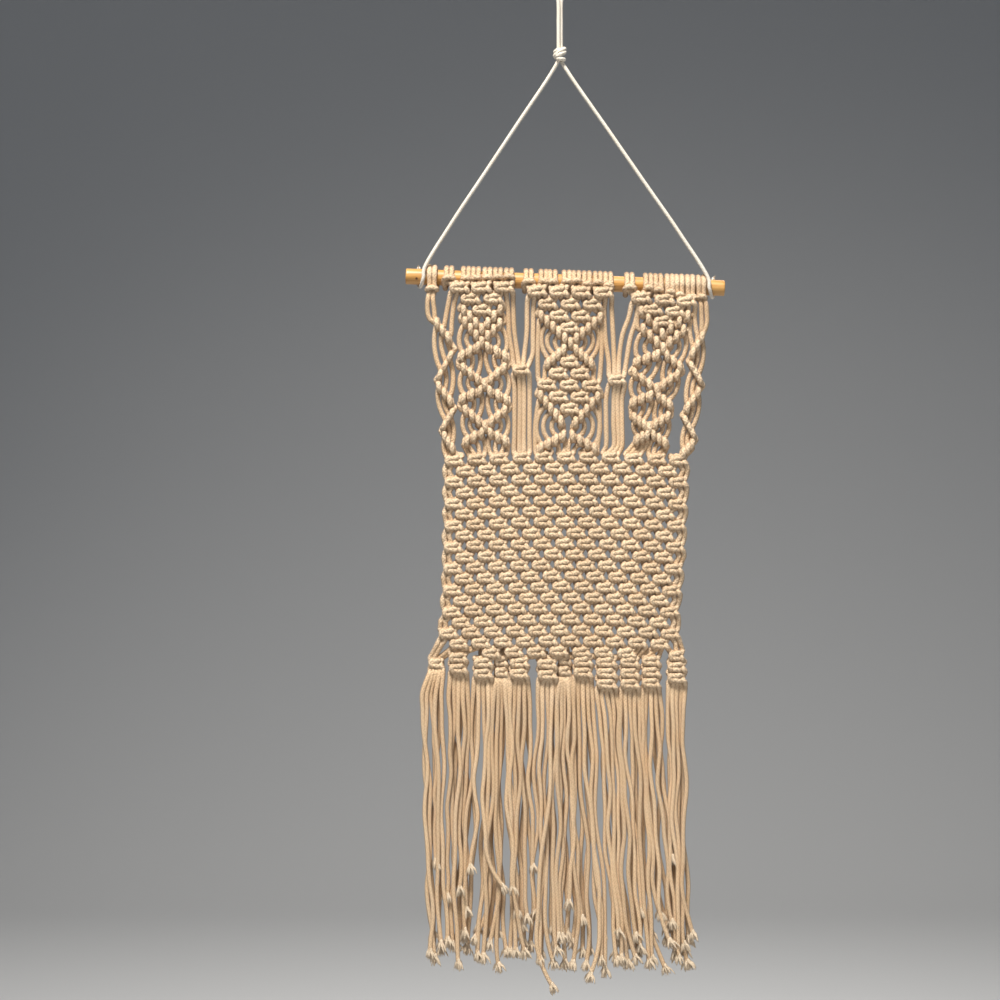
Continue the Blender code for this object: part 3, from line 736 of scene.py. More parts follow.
@dataclass
class Net:
    """The even net of square knots, with its edges by height: z, left and right."""

    knots: int = 11
    rows: int = 19
    last: range = range(2, 9)  # the knots of its last row, over the middle bundles
    top: float = -389.0
    bottom: float = -552.8
    rise: float = 3.6  # of the middle of each row
    stray: float = 0.35  # how far a knot may sit from its place
    tilt: float = 0.05  # how much each knot rises across, give or take as much
    lanes: Pair = (1.4, 5.0)  # where the free strands pass, from each edge
    narrow: float = 0.78  # the last knot, at the right edge
    edges: tuple[Triple, ...] = (
        (-385.0, -93.6, 104.0), (-475.0, -94.2, 100.2), (-515.0, -95.8, 95.6),
        (-550.0, -100.4, 98.0))

    def tie(self, slots: list[Strand]) -> None:
        """Tie the net.

        Args:
            slots: The 44 strands from left to right.
        """
        pitch = (self.top - self.bottom) / self.rows
        heights = [-edge[0] for edge in self.edges]
        for row in range(self.rows):
            z_row, odd = self.top - (row + 0.5) * pitch, row % 2
            left, right = (float(np.interp(-z_row, heights, [edge[n] for edge in self.edges]))
                           for n in (1, 2))
            wide = (right - left) / self.knots
            for k in range(self.knots - odd):
                x = left + (k + 0.5 + 0.5 * odd) * wide
                share = (x - (left + right) / 2) / ((right - left) / 2)
                z = (z_row + self.rise * (1 - share * share)
                     + UNEVEN.uniform(-self.stray, self.stray))
                first = 4 * k + 2 * odd
                if row == self.rows - 1 and k not in self.last:
                    continue
                x += UNEVEN.uniform(-self.stray, self.stray)
                SQUARE.tie(slots[first:first + 4], x, z, pitch, UNEVEN.uniform(0.97, 1.03),
                           self.tilt + UNEVEN.uniform(-self.tilt, self.tilt))
            if odd:
                near, far = self.lanes
                for number, x in ((0, left + near), (1, left + far), (-2, right - far),
                                  (-1, right - near)):
                    z = z_row + UNEVEN.uniform(-0.5, 0.5)
                    slots[number].through(x, body_y(z) - 1.0, z + 1.5, 0.6)
        SQUARE.tie(slots[-3:], right - self.lanes[1], z_row, pitch, self.narrow, self.tilt)


@dataclass
class Bundle:
    """One bundle under the net: its sides, its bottom, and its five cut ends.

    Each end is its place across and up, and how far the strand turns aside to it where that shows.
    """

    left: float
    right: float
    bottom: float
    ends: tuple[tuple[float, ...], ...]
    knots: int = 2
    own: int = 4  # strands of the net in it
    pitch: float = 3.85  # how far apart its strands hang
    shift: float = 0.0  # and how far to one side of its knots


@dataclass
class Fringe:
    """The knotted bundles and the cut ends that hang from them."""

    bundles: tuple[Bundle, ...] = (
        Bundle(-104.6, -93.0, -559.0, ((-104.0, -785.6), (-100.0, -790.4), (-99.2, -714.4),
                                       (-95.2, -779.2), (-90.4, -776.8)), 1, 4, 3.7, -4.0),
        Bundle(-88.8, -73.6, -563.0, ((-90.4, -741.6), (-85.6, -780.0), (-81.6, -794.4),
                                      (-80.8, -736.0), (-76.0, -769.6))),
        Bundle(-69.6, -53.6, -567.0, ((-75.2, -753.6, 3.0), (-72.0, -718.4, -3.0),
                                      (-68.8, -775.2, -14.0), (-44.8, -733.6, 19.0),
                                      (-66.0, -788.0))),
        Bundle(-52.0, -41.6, -566.0, ((-61.6, -789.6), (-56.0, -779.2, -5.0), (-48.8, -797.6, 3.0),
                                      (-38.4, -734.4), (-35.2, -785.6)), 2, 3, 3.0),
        Bundle(-40.4, -24.8, -567.0, ((-34.4, -753.6, 2.0), (-31.2, -764.8, 5.0),
                                      (-28.0, -785.6, 9.0), (-25.6, -758.4), (-22.4, -718.4))),
        Bundle(-18.4, -2.0, -568.0, ((-20.0, -755.2), (-16.0, -791.2), (-4.8, -794.4, 8.0),
                                     (-6.0, -813.0, 16.0), (-2.4, -784.0, 6.0))),
        Bundle(-0.8, 8.6, -565.0, ((-0.8, -772.8), (1.6, -773.6), (4.0, -795.2), (7.2, -746.4),
                                   (10.4, -795.2)), 2, 3, 3.0),
        Bundle(10.4, 26.0, -566.0, ((17.6, -759.2, 4.0), (20.8, -796.0, -6.0),
                                    (24.0, -804.8, -12.0), (32.8, -792.0), (36.0, -800.8))),
        Bundle(28.2, 46.0, -575.2, ((45.6, -792.8), (46.4, -769.6), (48.8, -790.4),
                                    (54.4, -795.2, 3.0), (60.0, -790.4, 7.0)), 3, 4, 3.85, 2.4),
        Bundle(47.8, 63.8, -575.2, ((60.8, -772.8), (63.2, -782.4), (65.6, -753.6),
                                    (70.4, -794.4), (73.6, -791.2)), 3),
        Bundle(65.0, 80.2, -574.4, ((80.0, -755.2), (84.0, -799.2, 10.0), (88.0, -777.6, 8.0),
                                    (89.6, -762.4), (90.4, -711.2)), 3, 3),
        Bundle(85.8, 101.0, -570.4, ((92.0, -786.0), (95.2, -790.0), (99.2, -780.0),
                                     (102.4, -795.2, 7.0), (105.6, -771.2, 7.0)), 2, 3, 3.2, -0.8),
    )
    knot_height: float = 8.7
    usual: float = 15.2  # a bundle's usual width
    narrow: float = 12.0  # bundles narrower than this sit behind their neighbours
    set_back: float = 3.0  # by this much
    layers: Triple = (-1.6, 0.0, 1.6)
    behind: tuple[Pair, ...] = ((-1.5, 5.0), (0.5, 5.6), (1.5, 4.4))  # lanes, and how far back
    rear_ends: Pair = (-792.0, -768.0)  # between these heights the rear strands end
    sway: float = 1.5
    curl: float = 42.0  # how far above its end a strand starts to turn aside
    far: float = 15.0  # one that turns aside further than this passes in front
    front: float = -4.6  # at this depth before the body
    step: float = 14.0  # between a strand's waypoints

    def wave(self, strand: Strand, start: Triple, end: tuple[float, ...], layer: float) -> None:
        """Let one strand hang in gentle waves to its cut end.

        Args:
            strand: The strand.
            start: Where it leaves its bundle.
            end: Where it is cut, across and up, and how far it turns aside on the way.
            layer: How far before or behind the body it hangs.
        """
        run = start[2] - end[1]
        count = max(7, round(run / self.step))
        kick = end[2] if len(end) > 2 else UNEVEN.uniform(-4.0, 4.0)
        layer = self.front if abs(kick) > self.far else layer
        phase, beat = UNEVEN.uniform(0, math.tau), UNEVEN.uniform(2.4, 4.0)
        second, quick = UNEVEN.uniform(0, math.tau), UNEVEN.uniform(5.0, 8.0)
        for k in range(1, count + 1):
            share = k / count
            ease = min(1.0, 4.0 * share) * min(1.0, 4.0 * (1 - share) + 0.25)
            across = self.sway * (math.sin(phase + beat * math.tau * share * 0.5)
                                  + 0.55 * math.sin(second + quick * math.tau * share * 0.5))
            aside = kick * max(0.0, 1.0 - (1.0 - share) * run / self.curl) ** 1.7
            x = start[0] + (end[0] - kick - start[0]) * share ** 1.3 + across * ease + aside
            y = (LACE_Y + layer * min(1.0, 0.6 + 2.0 * share)
                 + 1.2 * math.sin(second + 6.0 * share) * ease)
            strand.through(x, y, start[2] - run * share, 0.0)

    def tie(self, slots: list[Strand]) -> list[Strand]:
        """Tie the bundles and hang the cut ends.

        Args:
            slots: The net's 44 strands from left to right.

        Returns:
            The cords that are added in the bundles and behind them.
        """
        added: list[Strand] = []
        for b, bundle in enumerate(self.bundles):
            taken = sum(before.own for before in self.bundles[:b])
            group = slots[taken:taken + bundle.own]
            middle, wide = (bundle.left + bundle.right) / 2, bundle.right - bundle.left
            top, low = bundle.bottom + self.knot_height * bundle.knots, bundle.bottom
            for k in range(len(bundle.ends) - bundle.own):
                extra = Strand()
                x = middle + (k - 0.5) * 3.0
                extra.through(x, LACE_Y + 4.5, top + 5.0)
                extra.through(x, LACE_Y + 2.0, top + 1.0)
                added.append(extra)
                group.insert(2, extra)
            for k, (lane, back) in enumerate(self.behind):
                rear = Strand()
                x = middle + bundle.shift + lane * bundle.pitch
                rear.through(middle + lane * 2.4, LACE_Y + 3.8, low + 8.0)
                rear.through(middle + lane * 2.8, LACE_Y + 4.4, low + 1.0, 0.5)
                end = (bundle.ends[k + 1][0] + UNEVEN.uniform(-3.0, 3.0),
                       UNEVEN.uniform(*self.rear_ends))
                self.wave(rear, (x, LACE_Y + 1.0, low - 5.0), end, back)
                added.append(rear)
            width = wide / self.usual
            back = self.set_back if wide < self.narrow else 0.0
            for k in range(bundle.knots):
                z = top - self.knot_height / 2 - self.knot_height * k
                SQUARE.tie(group, middle + UNEVEN.uniform(-0.3, 0.3), z, self.knot_height, width,
                           UNEVEN.uniform(-0.03, 0.06), -back)
            for k, (strand, end) in enumerate(zip(group, bundle.ends)):
                lane = k - (len(group) - 1) / 2
                layer = self.layers[(b + k) % len(self.layers)] - 1.0
                strand.through(middle + lane * 3.3 * width, LACE_Y, low - 2.0, 0.4)
                x = middle + bundle.shift + lane * bundle.pitch
                self.wave(strand, (x, LACE_Y, low - 6.0), end, layer)
        return added


@dataclass
class Tufts:
    """The frayed cut ends: locks that fan out, and loose fibres among them."""

    locks: int = 13
    fibres: int = 9
    length: float = 6.2
    spread: float = 7.4
    lock_size: float = 1.3
    fibre_size: float = 0.3
    tuck: float = 4.0  # how far up in the cord they start
    droop: float = 3.2
    thinning: float = 0.8
    loose: float = -0.6  # marks them as frayed for the finish

    def fray(self, tube: Tube, strand: Strand) -> None:
        """Fray the lower end of one strand.

        Args:
            tube: The mesh that the tuft goes into.
            strand: The strand.
        """
        tip, before = np.array(strand.points[-1]), np.array(strand.points[-2])
        down = (tip - before) / np.linalg.norm(tip - before)
        down = down * 0.7 + np.array((0.0, 0.0, -0.3))
        down /= np.linalg.norm(down)
        across = np.cross(down, (0.0, 1.0, 0.0))
        deep = np.cross(down, across)
        for k in range(self.locks + self.fibres):
            turn = math.tau * (k * 0.38 + UNEVEN.uniform(-0.05, 0.05))
            out = (0.1 + 0.9 * ((k % 4) / 3.0)) * UNEVEN.uniform(0.75, 1.15)
            aim = (math.cos(turn) * across + 0.7 * math.sin(turn) * deep) * out
            reach = self.length * UNEVEN.uniform(0.7, 1.12)
            sway = UNEVEN.uniform(-0.8, 0.8)
            start = tip - down * self.tuck + aim * 0.9
            points = [
                start, start + down * reach * 0.42 + aim * 1.2,
                start + down * reach * 0.8 + aim * (self.spread * 0.55) + across * sway * 0.3,
                start + down * (reach + self.droop) + aim * self.spread * 0.92 + across * sway]
            route = Route.smooth(points, self.loose, 2.2, 0.6)
            share = np.linspace(0.0, 1.0, len(route.points))
            size = self.lock_size if k < self.locks else self.fibre_size
            thick = size * UNEVEN.uniform(0.8, 1.15)
            tube.sweep(route, thick * (1.0 - share ** 2.2 * self.thinning))


@dataclass
class WallHanging:
    """The macrame: heading, lace, net, bundles and fringe, all of the same cords."""

    material: Material
    heading: Heading = field(default_factory=Heading)
    lace: Lace = field(default_factory=Lace)
    net: Net = field(default_factory=Net)
    fringe: Fringe = field(default_factory=Fringe)
    tufts: Tufts = field(default_factory=Tufts)
    free_from: float = -575.0  # below this height the cords are free, and soon thinner
    thin_over: float = 15.0

    def cord_piece(self, name: str, waypoints: list[Triple], tied: list[float]) -> float:
        """Make one cord a piece.

        Args:
            name: The piece's name.
            waypoints: The line that it follows.
            tied: How tightly it is tied at each waypoint.

        Returns:
            Its length in millimetres.
        """
        route = Route.smooth(waypoints, tied)
        along = distances(route.points)
        phase = UNEVEN.uniform(0.0, math.tau)
        low = np.clip((self.free_from - route.points[:, 2]) / self.thin_over, 0.0, 1.0)
        radii = CORD / 2 * (1.03 + 0.13 * np.clip(route.tied, 0.0, 1.0) - 0.13 * low
                            + 0.02 * np.sin(along / 11.0 + phase)
                            + 0.015 * np.sin(along / 4.1 + 2 * phase))
        tube = Tube()
        tube.sweep(route, radii)
        piece = tube.piece(name, Slot.MACRAME, self.material, UNEVEN.uniform(0.0, 1.0))
        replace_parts(piece, "macrame_panel", "fringe")
        return float(along[-1])

    def build(self) -> None:
        """Tie the whole piece and make its cords."""
        heads = range(len(self.heading.places))
        strands = [self.heading.hang(k, side) for k in heads for side in (-1.0, 1.0)]
        slots = self.lace.tie(strands)
        self.net.tie(slots)
        added = self.fringe.tie(slots)
        total = 0.0
        for k in heads:
            left, right = strands[2 * k], strands[2 * k + 1]
            total += self.cord_piece(f"macrame_cord_{k + 1:02d}", left.points[:0:-1] + right.points,
                                     left.tied[:0:-1] + right.tied)
        for k, extra in enumerate(added):
            total += self.cord_piece(f"added_cord_{k + 1:02d}", extra.points, extra.tied)
        tube = Tube(5)
        for strand in strands + added:
            self.tufts.fray(tube, strand)
        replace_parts(tube.piece("frayed_ends", Slot.MACRAME, self.material), "fringe")
        log.info("macrame cord %.1f m, %d cords", total / 1000, len(heads) + len(added))


# ---- the rod and the hanging cord


@dataclass
class Rod:
    """The turned rod."""

    material: Material
    stations: int = 65
    sides: int = 40
    round_off: float = 0.9
    uneven: float = 0.1
    waver: float = 38.0  # how slowly it bends back and forth along its length
    sharp: float = 40.0

    def build(self) -> Piece:
        """Build the rod with its eased ends.

        Returns:
            The rod, in place of the CAD node.
        """
        noise = random.Random(7)
        half, radius = ROD_LINE.length / 2, ROD_LINE.diameter / 2
        end = [(-half, radius - self.round_off - 1.6), (-half, radius - self.round_off - 0.05),
               (-half + 0.1, radius - 0.42), (-half + 0.42, radius - 0.1),
               (-half + self.round_off, radius)]
        inner = np.linspace(-half + 3.0, half - 3.0, self.stations)
        marks = end + [(float(m), radius + noise.uniform(-1, 1) * self.uneven * 0.4)
                       for m in inner] + [(-m, r) for m, r in end[::-1]]
        verts, faces = [], []
        run = Vector((math.cos(ROD_LINE.tilt), 0.0, -math.sin(ROD_LINE.tilt)))
        up = Vector((math.sin(ROD_LINE.tilt), 0.0, math.cos(ROD_LINE.tilt)))
        centre = Vector((ROD_LINE.x, 0.0, ROD_LINE.z))
        for mark, size in marks:
            for k in range(self.sides):
                turn = math.tau * k / self.sides
                out = up * math.sin(turn) + Vector((0.0, 1.0, 0.0)) * math.cos(turn)
                bend = self.uneven * math.sin(mark / self.waver)
                verts.append((centre + run * mark + out * size + up * bend) * MM)
        for i in range(len(marks) - 1):
            for k in range(self.sides):
                a, b = i * self.sides + k, i * self.sides + (k + 1) % self.sides
                faces.append((a, a + self.sides, b + self.sides, b))
        last = (len(marks) - 1) * self.sides
        faces += [tuple(range(self.sides)), tuple(range(last + self.sides - 1, last - 1, -1))]
        mesh = bpy.data.meshes.new("turned_rod")
        mesh.from_pydata(verts, [], faces)
        piece = place("turned_rod", mesh, Slot.ROD, self.material)
        mesh.set_sharp_from_angle(angle=math.radians(self.sharp))
        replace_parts(piece, "rod")
        return piece


@dataclass
class Hanger:
    """The hanging cord: wound round the rod at both ends, its legs tied together once."""

    material: Material
    diameter: float = 3.0
    left_x: float = -109.0
    right_x: float = 119.2
    turn: int = 250
    turn_radius: float = 7.85
    knot_top: float = -59.7
    knot_bottom: float = -73.1
    swell: float = 0.58  # the knot's turns, against the cord
    wraps: tuple[Triple, ...] = ((3.0, 1.0, 0.5), (0.2, 1.06, 0.5), (-3.0, 0.92, -0.2))

    def leg(self, side: float) -> list[Triple]:
        """Lead one leg from its end at the rod up to the knot.

        Args:
            side: -1 for the left leg, 1 for the right one.

        Returns:
            Its waypoints.
        """
        foot = self.left_x if side < 0 else self.right_x
        rod = ROD_LINE.height(foot)
        route: list[Triple] = []
        for degrees in range(-self.turn, 1, 25):
            turn = math.radians(degrees)
            route.append((foot + side * 4.4 * min(1.0, -degrees / 130.0),
                          -self.turn_radius * math.cos(turn),
                          rod + self.turn_radius * math.sin(turn)))
        x, y, z = route[-1]
        route.append((x, y + 0.2, z + 5.0))
        lifted, top = (x, y + 0.8, z + 9.0), (side * 1.5, 0.0, self.knot_bottom)
        for share in (0.2, 0.45, 0.7, 0.96):
            route.append(tuple(a + (b - a) * share for a, b in zip(lifted, top)))
        route.append((side * 1.2, side * 0.9, self.knot_bottom + 2.5))
        return route

    def waypoints(self) -> list[Triple]:
        """Lay the whole cord out.

        Returns:
            Its waypoints, from its left end to its right one.
        """
        rise = [(1.1, 1.05, self.knot_top), (1.1, 1.05, -41.7), (1.3, 0.9, -23.7),
                (3.6, 0.3, -10.7), (4.5, 0.0, -3.5), (3.24, 0.0, 0.1)]
        left = [(-x, -y, z) for x, y, z in rise]
        return self.leg(-1.0) + left + [(0.0, 0.0, 1.5)] + rise[::-1] + self.leg(1.0)[::-1]

    def knot(self) -> Piece:
        """Build the overhand knot's turns round the two cords.

        Returns:
            The knot, in place of the CAD node.
        """
        tube = Tube(10, self.diameter)
        middle = (self.knot_top + self.knot_bottom) / 2
        for offset, size, lean in self.wraps:
            waypoints = []
            for k in range(13):
                share = k / 12
                turn = math.tau * (share * 1.06 + 0.3)
                x = 3.7 * size * math.cos(turn)
                waypoints.append((x, -3.5 * size * math.sin(turn),
                                  middle + offset + 1.0 - 2.0 * share + lean * x))
            tube.sweep(Route.smooth(waypoints, 0.5, 1.2, 0.3), self.diameter * self.swell)
        piece = tube.piece("hanger_overhand_knot", Slot.HANGER, self.material)
        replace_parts(piece, "hanger_knot")
        return piece

    def frayed_ends(self) -> Piece:
        """Build the small frayed ends that stand up from the rod.

        Returns:
            The frayed ends, as one piece.
        """
        noise, tube = random.Random(3), Tube(5, self.diameter)
        for side in (-1.0, 1.0):
            x, y, z = self.leg(side)[0]
            for _ in range(9):
                lean = side * noise.uniform(-0.2, 1.0)
                back = noise.uniform(-1.0, 1.0)
                high = noise.uniform(0.8, 2.4)
                points = [(x, y - 0.5, z - 0.6), (x + lean * 0.6, y + back * 0.4, z + high * 0.4),
                          (x + lean * 1.8, y - 1.4 + back, z + high)]
                route = Route.smooth(points, 0.0, 0.8, 0.4)
                share = np.linspace(0.0, 1.0, len(route.points))
                tube.sweep(route, 0.5 * (1.0 - 0.9 * share))
        return tube.piece("hanger_frayed_ends", Slot.HANGER, self.material)

    def build(self) -> Piece:
        """Returns:
            The cord, in place of its CAD nodes.
        """
        route = Route.smooth(self.waypoints(), 0.0, 3.0, 0.18)
        tube = Tube(12, self.diameter)
        tube.sweep(route, self.diameter / 2)
        piece = tube.piece("hanger_cord", Slot.HANGER, self.material)
        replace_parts(piece, "hanger_left_leg", "hanger_right_leg", "hanger_loop")
        self.knot()
        self.frayed_ends()
        return piece


# ---- finishes


@dataclass
class Board:
    """A node tree, and short ways to set nodes out on it."""

    tree: bpy.types.NodeTree

    def feed(self, node: Node, inputs: dict) -> None:
        """Set a node's inputs.

        Args:
            node: The node.
            inputs: Values or sockets, by the input's name or number.
        """
        for name, value in inputs.items():
            if isinstance(value, Socket):
                self.tree.links.new(value, node.inputs[name])
            else:
                node.inputs[name].default_value = value

    def node(self, kind: str, inputs: dict | None = None, **settings: object) -> Node:
        """Add one node.

        Args:
            kind: The node's type, without its ShaderNode prefix.
            inputs: Values or sockets for its inputs, by name or number.
            settings: The node's own settings.

        Returns:
            The node.
        """
        node = self.tree.nodes.new(("" if kind.startswith("Node") else "ShaderNode") + kind)
        for name, value in settings.items():
            setattr(node, name, value)
        self.feed(node, inputs or {})
        return node

    def math(self, operation: str, a: object, b: object = 0.0) -> Socket:
        """Return the result of one sum."""
        return self.node("Math", {0: a, 1: b}, operation=operation).outputs[0]

    def times(self, a: object, b: object) -> Socket:
        """Return a product."""
        return self.math("MULTIPLY", a, b)

    def mix(self, factor: object, under: Socket | Triple, over: Triple) -> Socket:
        """Return one colour mixed over another."""
        first = (*under, 1.0) if isinstance(under, tuple) else under
        return self.node("Mix", {0: factor, 6: first, 7: (*over, 1.0)}, data_type="RGBA").outputs[2]

    def span(self, value: object, low: float, high: float, start: float = 0.0,
             end: float = 1.0) -> Socket:
        """Return a value mapped from one range to another."""
        return self.node("MapRange", {0: value, 1: low, 2: high, 3: start, 4: end}).outputs[0]

    def noise(self, where: Socket, **settings: float) -> Socket:
        """Return a noise's value at a place."""
        inputs = {"Vector": where, "Scale": 1.0, **{k.title(): v for k, v in settings.items()}}
        return self.node("TexNoise", inputs).outputs[0]


def new_material(name: str) -> tuple[Material, Board, Node]:
    """Start a material.

    Args:
        name: Its name.

    Returns:
        The material, a board on its nodes, and its shader.
    """
    material = bpy.data.materials.new(name)
    material.use_nodes = True
    return material, Board(material.node_tree), material.node_tree.nodes["Principled BSDF"]


class Effects:
    """The node groups that the finishes share, each built once."""

    def __init__(self) -> None:
        """Build each group."""
        self.plait = self.make_plait()
        self.unevenness = self.make_unevenness()

    @staticmethod
    def start(name: str, inputs: dict[str, float | None],
              outputs: tuple[str, ...]) -> tuple[Board, Node, Node]:
        """Start a group that puts out plain values.

        Args:
            name: Its name.
            inputs: The starting value of each input, or None for a place.
            outputs: The names of its outputs.

        Returns:
            A board on the group, and its input and output nodes.
        """
        tree = bpy.data.node_groups.new(name, "ShaderNodeTree")
        for label, value in inputs.items():
            kind = "NodeSocketVector" if value is None else "NodeSocketFloat"
            socket = tree.interface.new_socket(label, in_out="INPUT", socket_type=kind)
            if value is not None:
                socket.default_value = value
        for label in outputs:
            tree.interface.new_socket(label, in_out="OUTPUT", socket_type="NodeSocketFloat")
        board = Board(tree)
        return board, board.node("NodeGroupInput"), board.node("NodeGroupOutput")

    def make_plait(self) -> bpy.types.NodeTree:
        """Build the plait of a round cord: two sets of yarns that cross, with their fibres.

        Returns:
            The group, which puts out the plait's height, the mask of its crevices for painted
            shade, and the fibre streaks.
        """
        board, inside, outside = self.start(
            "cord_plait", {"Cord": None, "Yarns": 4.0, "Pitch": 1.0},
            ("Height", "Crevice", "Streak"))
        cord = board.node("SeparateXYZ", {0: inside.outputs["Cord"]})
        around, along = cord.outputs[0], cord.outputs[1]
        yarns, turns = inside.outputs["Yarns"], board.times(along, inside.outputs["Pitch"])
        ridges = []
        for sign in ("ADD", "SUBTRACT"):
            lane = board.times(board.math(sign, around, turns), yarns)
            ridges.append(board.math("ABSOLUTE", board.math("SINE", board.times(lane, math.pi))))
        over = board.times(board.times(board.math("ADD", around, turns), yarns), math.pi)
        weave = board.span(board.math("SINE", over), -0.3, 0.3)
        crossing = board.node("Mix", {0: weave, 2: ridges[0], 3: ridges[1]}).outputs[0]
        fibres = board.node("CombineXYZ",
                            {0: board.times(around, 34.0), 1: board.times(along, 5.0)})
        streak = board.span(board.noise(fibres.outputs[0], detail=3.0), 0.3, 0.7)
        board.feed(outside, {"Height": board.math("ADD", crossing, board.times(streak, 0.35)),
                             "Crevice": board.span(crossing, 0.55, 0.05), "Streak": streak})
        return board.tree

    def make_unevenness(self) -> bpy.types.NodeTree:
        """Build soft patches over the object, for wear, handling and uneven colour.

        Returns:
            The group, which puts out large patches and fine specks.
        """
        board, inside, outside = self.start(
            "soft_patches", {"Size": 60.0, "Low": 0.35, "High": 0.65}, ("Patches", "Specks"))
        where, size = board.node("TexCoord").outputs["Object"], inside.outputs["Size"]
        soft = board.noise(where, scale=size, detail=3.0)
        fine = board.noise(where, scale=board.times(size, 9.0), detail=2.0)
        board.feed(outside, {
            "Patches": board.span(soft, inside.outputs["Low"], inside.outputs["High"]),
            "Specks": board.span(fine, 0.35, 0.65)})
        return board.tree


@dataclass(frozen=True)
class CottonFinish:
    """Undyed cotton cord, matt and softly fuzzy."""

    slot: Slot
    tied: Triple = (0.95, 0.73, 0.49)
    free: Triple = (0.93, 0.66, 0.40)
    # crevice: the colour of the painted shade on the flanks, between the yarns and between the
    # fibres; a cord's own darker tone also leans toward it
    crevice: Triple = (0.30, 0.16, 0.06)
    frayed: Triple = (0.95, 0.80, 0.60)
    yarns: float = 4.0
    pitch: float = 0.42
    bump: float = 0.7
    flank_shade: float = 0.85  # how dark the painted shade on the flanks is, where the strands lie side by side
    patchy: float = 0.35  # how strongly the soft patches show
    tones: float = 0.22  # how much one cord may be darker than another
    hollow_shade: float = 0.6  # how dark the painted shade between the yarns is
    streaks: float = 0.16  # and the painted shade in streaks between their fibres

    def build(self, effects: Effects) -> Material:
        """Build the finish.

        Args:
            effects: The shared node groups.

        Returns:
            The material.
        """
        material, board, shader = new_material(self.slot.value)
        uv = board.node("UVMap", uv_map="cord_uv").outputs[0]
        plait = board.node("Group", {"Cord": uv, "Yarns": self.yarns, "Pitch": self.pitch},
                           node_tree=effects.plait)
        uneven = board.node("Group", {"Size": 55.0, "Low": 0.3, "High": 0.7},
                            node_tree=effects.unevenness)
        tied, flank, tone = (board.node("Attribute", attribute_name=name).outputs["Fac"]
                             for name in ("tied", "flank", "tone"))
        colour = board.mix(board.span(tied, 0.15, 0.85), self.free, self.tied)
        for factor, over in (
            (board.times(uneven.outputs["Patches"], self.patchy), self.frayed),
            (board.span(tied, 0.0, -0.5), self.frayed),
            (board.times(tone, self.tones), self.crevice),
            # painted shade on the flanks, where the strands lie side by side
            (board.span(flank, 0.22, 0.9, 0.0, self.flank_shade), self.crevice),
            # painted shade between the yarns, and in streaks between the fibres
            (board.times(plait.outputs["Crevice"], self.hollow_shade), self.crevice),
            (board.times(plait.outputs["Streak"], self.streaks), self.crevice),
        ):
            colour = board.mix(factor, colour, over)
        bump = board.node("Bump", {"Strength": self.bump, "Distance": 0.0006,
                                   "Height": plait.outputs["Height"]})
        board.feed(shader, {
            "Base Color": colour, "Normal": bump.outputs[0],
            "Roughness": board.span(uneven.outputs["Specks"], 0.0, 1.0, 0.82, 0.94),
            "Sheen Weight": 0.25, "Sheen Roughness": 0.6, "Specular IOR Level": 0.25})
        return material


@dataclass(frozen=True)
class WoodFinish:
    """Light wood, turned and thinly varnished, warm orange yellow."""

    slot: Slot
    pale: Triple = (0.78, 0.46, 0.15)
    warm: Triple = (0.48, 0.21, 0.04)
    dark: Triple = (0.12, 0.05, 0.02)
    # painted shade of the two holes where the hanging cord goes into the rod; the rod's mesh has no
    # holes
    pin_holes: tuple[Triple, ...] = ((-114.8, -5.6, -246.6), (121.2, -5.4, -256.6))
    hole: Pair = (0.0013, 0.0008)  # where a hole's painted shade starts and where it is darkest, in metres
    patchy: float = 0.35  # how strongly the soft patches show
    pores: float = 0.35  # and the dark pores

    def build(self, effects: Effects) -> Material:
        """Build the finish.

        Args:
            effects: The shared node groups.

        Returns:
            The material.
        """
        material, board, shader = new_material(self.slot.value)
        where = board.node("TexCoord").outputs["Object"]
        grain_place = board.node("Mapping", {0: where, "Scale": (22.0, 420.0, 420.0),
                                             "Rotation": (0.0, 0.037, 0.0)}).outputs[0]
        grain = board.noise(grain_place, detail=5.0, roughness=0.62, distortion=0.4)
        pore_place = board.node("Mapping", {0: where, "Scale": (160.0, 2600.0, 2600.0)}).outputs[0]
        pores = board.noise(pore_place, detail=2.0)
        uneven = board.node("Group", {"Size": 26.0, "Low": 0.35, "High": 0.65},
                            node_tree=effects.unevenness)
        colour = board.mix(board.span(grain, 0.36, 0.66), self.pale, self.warm)
        colour = board.mix(board.times(uneven.outputs["Patches"], self.patchy), colour, self.warm)
        colour = board.mix(board.span(pores, 0.62, 0.75, 0.0, self.pores), colour, self.dark)
        # painted shade inside each pin hole
        for middle in self.pin_holes:
            away = board.node("VectorMath", {0: where, 1: tuple(c * MM for c in middle)},
                              operation="DISTANCE").outputs["Value"]
            colour = board.mix(board.span(away, *self.hole), colour, self.dark)
        bump = board.node("Bump", {"Strength": 0.25, "Distance": 0.0003,
                                   "Height": board.math("ADD", grain, pores)})
        board.feed(shader, {
            "Base Color": colour, "Normal": bump.outputs[0],
            "Roughness": board.span(grain, 0.3, 0.7, 0.34, 0.52),
            "Coat Weight": 0.25, "Coat Roughness": 0.3})
        return material


# ---- studio


@dataclass(frozen=True)
class Lamp:
    """One soft square light: where it hangs in metres, its side, watts, colour and beam."""

    name: str
    place: Triple
    size: float
    power: float
    colour: Triple
    spread: float = 90.0

    def hang(self, aim: Triple) -> None:
        """Hang the light so that it faces a place.

        Args:
            aim: The place.
        """
        data = bpy.data.lights.new(self.name, "AREA")
        data.size, data.energy, data.color = self.size, self.power, self.colour
        data.spread = math.radians(self.spread)
        lamp = show(self.name, data)
        lamp.location = self.place
        toward = Vector(aim) - Vector(self.place)
        lamp.rotation_euler = toward.to_track_quat("-Z", "Y").to_euler()


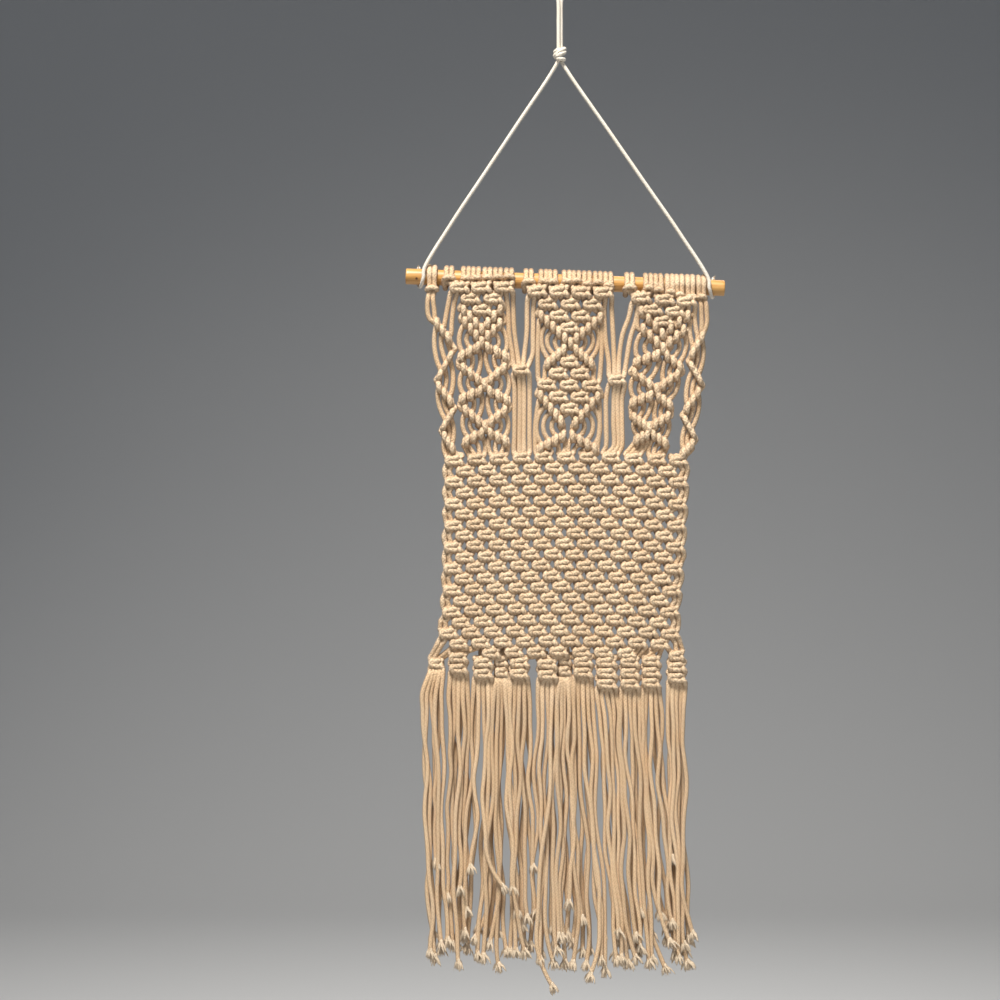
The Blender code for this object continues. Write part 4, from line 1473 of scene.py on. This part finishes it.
@dataclass
class Studio:
    """Camera, soft lights and a plain pale floor that sweeps up behind the piece."""

    view_x: float = -48.0
    view_z: float = -424.0
    lens: float = 85.0
    sensor: float = 36.0
    width: float = 800.0
    floor_z: float = -1.02
    front: float = -4.0
    top: float = 3.0
    half: float = 3.2
    behind: float = 1.5
    bend: float = 0.8
    paper: Triple = (0.62, 0.63, 0.64)
    aim: Triple = (0.0, 0.0, -0.45)
    air: tuple[float, ...] = (0.78, 0.87, 1.0, 1.0)
    air_strength: float = 0.11
    lamps: tuple[Lamp, ...] = (
        Lamp("key", (-0.45, -1.15, 1.9), 0.7, 21.5, (1.0, 0.95, 0.88), 75.0),
        Lamp("fill_front", (0.5, -2.2, -0.2), 1.4, 1.5, (1.0, 0.94, 0.87)),
        Lamp("fill_right", (1.7, -1.3, 0.1), 1.2, 0.9, (0.92, 0.95, 1.0)),
        Lamp("behind", (0.6, 1.2, 0.9), 1.0, 1.8, (0.9, 0.94, 1.0)),
    )

    def camera(self) -> None:
        """Set the camera level, square to the piece, as in the photograph."""
        data = bpy.data.cameras.new("view")
        data.lens, data.sensor_width = self.lens, self.sensor
        camera = show("view", data)
        away = self.width * self.lens / self.sensor
        camera.location = (self.view_x * MM, (LACE_Y - away) * MM, self.view_z * MM)
        camera.rotation_euler = (math.pi / 2, 0.0, 0.0)
        bpy.context.scene.camera = camera

    def sweep(self) -> None:
        """Lay the floor and its curve up behind the piece."""
        profile = [(self.front, self.floor_z), (self.behind, self.floor_z)]
        for k in range(1, 17):
            turn = math.pi / 2 * k / 16
            profile.append((self.behind + self.bend * math.sin(turn),
                            self.floor_z + self.bend * (1 - math.cos(turn))))
        profile.append((self.behind + self.bend, self.top))
        verts = [(x, y, z) for y, z in profile for x in (-self.half, self.half)]
        faces = [(2 * i, 2 * i + 1, 2 * i + 3, 2 * i + 2) for i in range(len(profile) - 1)]
        mesh = bpy.data.meshes.new("studio_floor")
        mesh.from_pydata(verts, [], faces)
        mesh.shade_smooth()
        material, board, shader = new_material("studio_paper")
        tooth = board.noise(board.node("TexCoord").outputs["Object"], scale=900.0)
        bump = board.node("Bump", {"Strength": 0.03, "Distance": 0.0005, "Height": tooth})
        board.feed(shader, {"Base Color": (*self.paper, 1.0), "Roughness": 0.9,
                            "Normal": bump.outputs[0]})
        mesh.materials.append(material)
        show("studio_floor", mesh)

    def build(self) -> None:
        """Set the studio up."""
        self.camera()
        self.sweep()
        for lamp in self.lamps:
            lamp.hang(self.aim)
        world = bpy.data.worlds.new("studio_air")
        world.use_nodes = True
        Board(world.node_tree).feed(world.node_tree.nodes["Background"],
                                    {0: self.air, 1: self.air_strength})
        bpy.context.scene.world = world
        bpy.context.scene.view_settings.view_transform = "Standard"


def main() -> None:
    """Build the studio and every piece, in order."""
    logging.basicConfig(level=logging.INFO, format="%(name)s: %(message)s")
    Studio().build()
    effects = Effects()
    # the hanging cord gets only a little painted shade on its flanks
    hanging_cord = CottonFinish(Slot.HANGER, tied=(0.94, 0.92, 0.82), free=(0.95, 0.94, 0.86),
                                bump=0.3, flank_shade=0.1)
    log.info("%s done", Hanger(hanging_cord.build(effects)).build().name)
    log.info("%s done", Rod(WoodFinish(Slot.ROD).build(effects)).build().name)
    WallHanging(CottonFinish(Slot.MACRAME).build(effects)).build()
    log.info("macrame done")


if __name__ == "__main__":
    main()
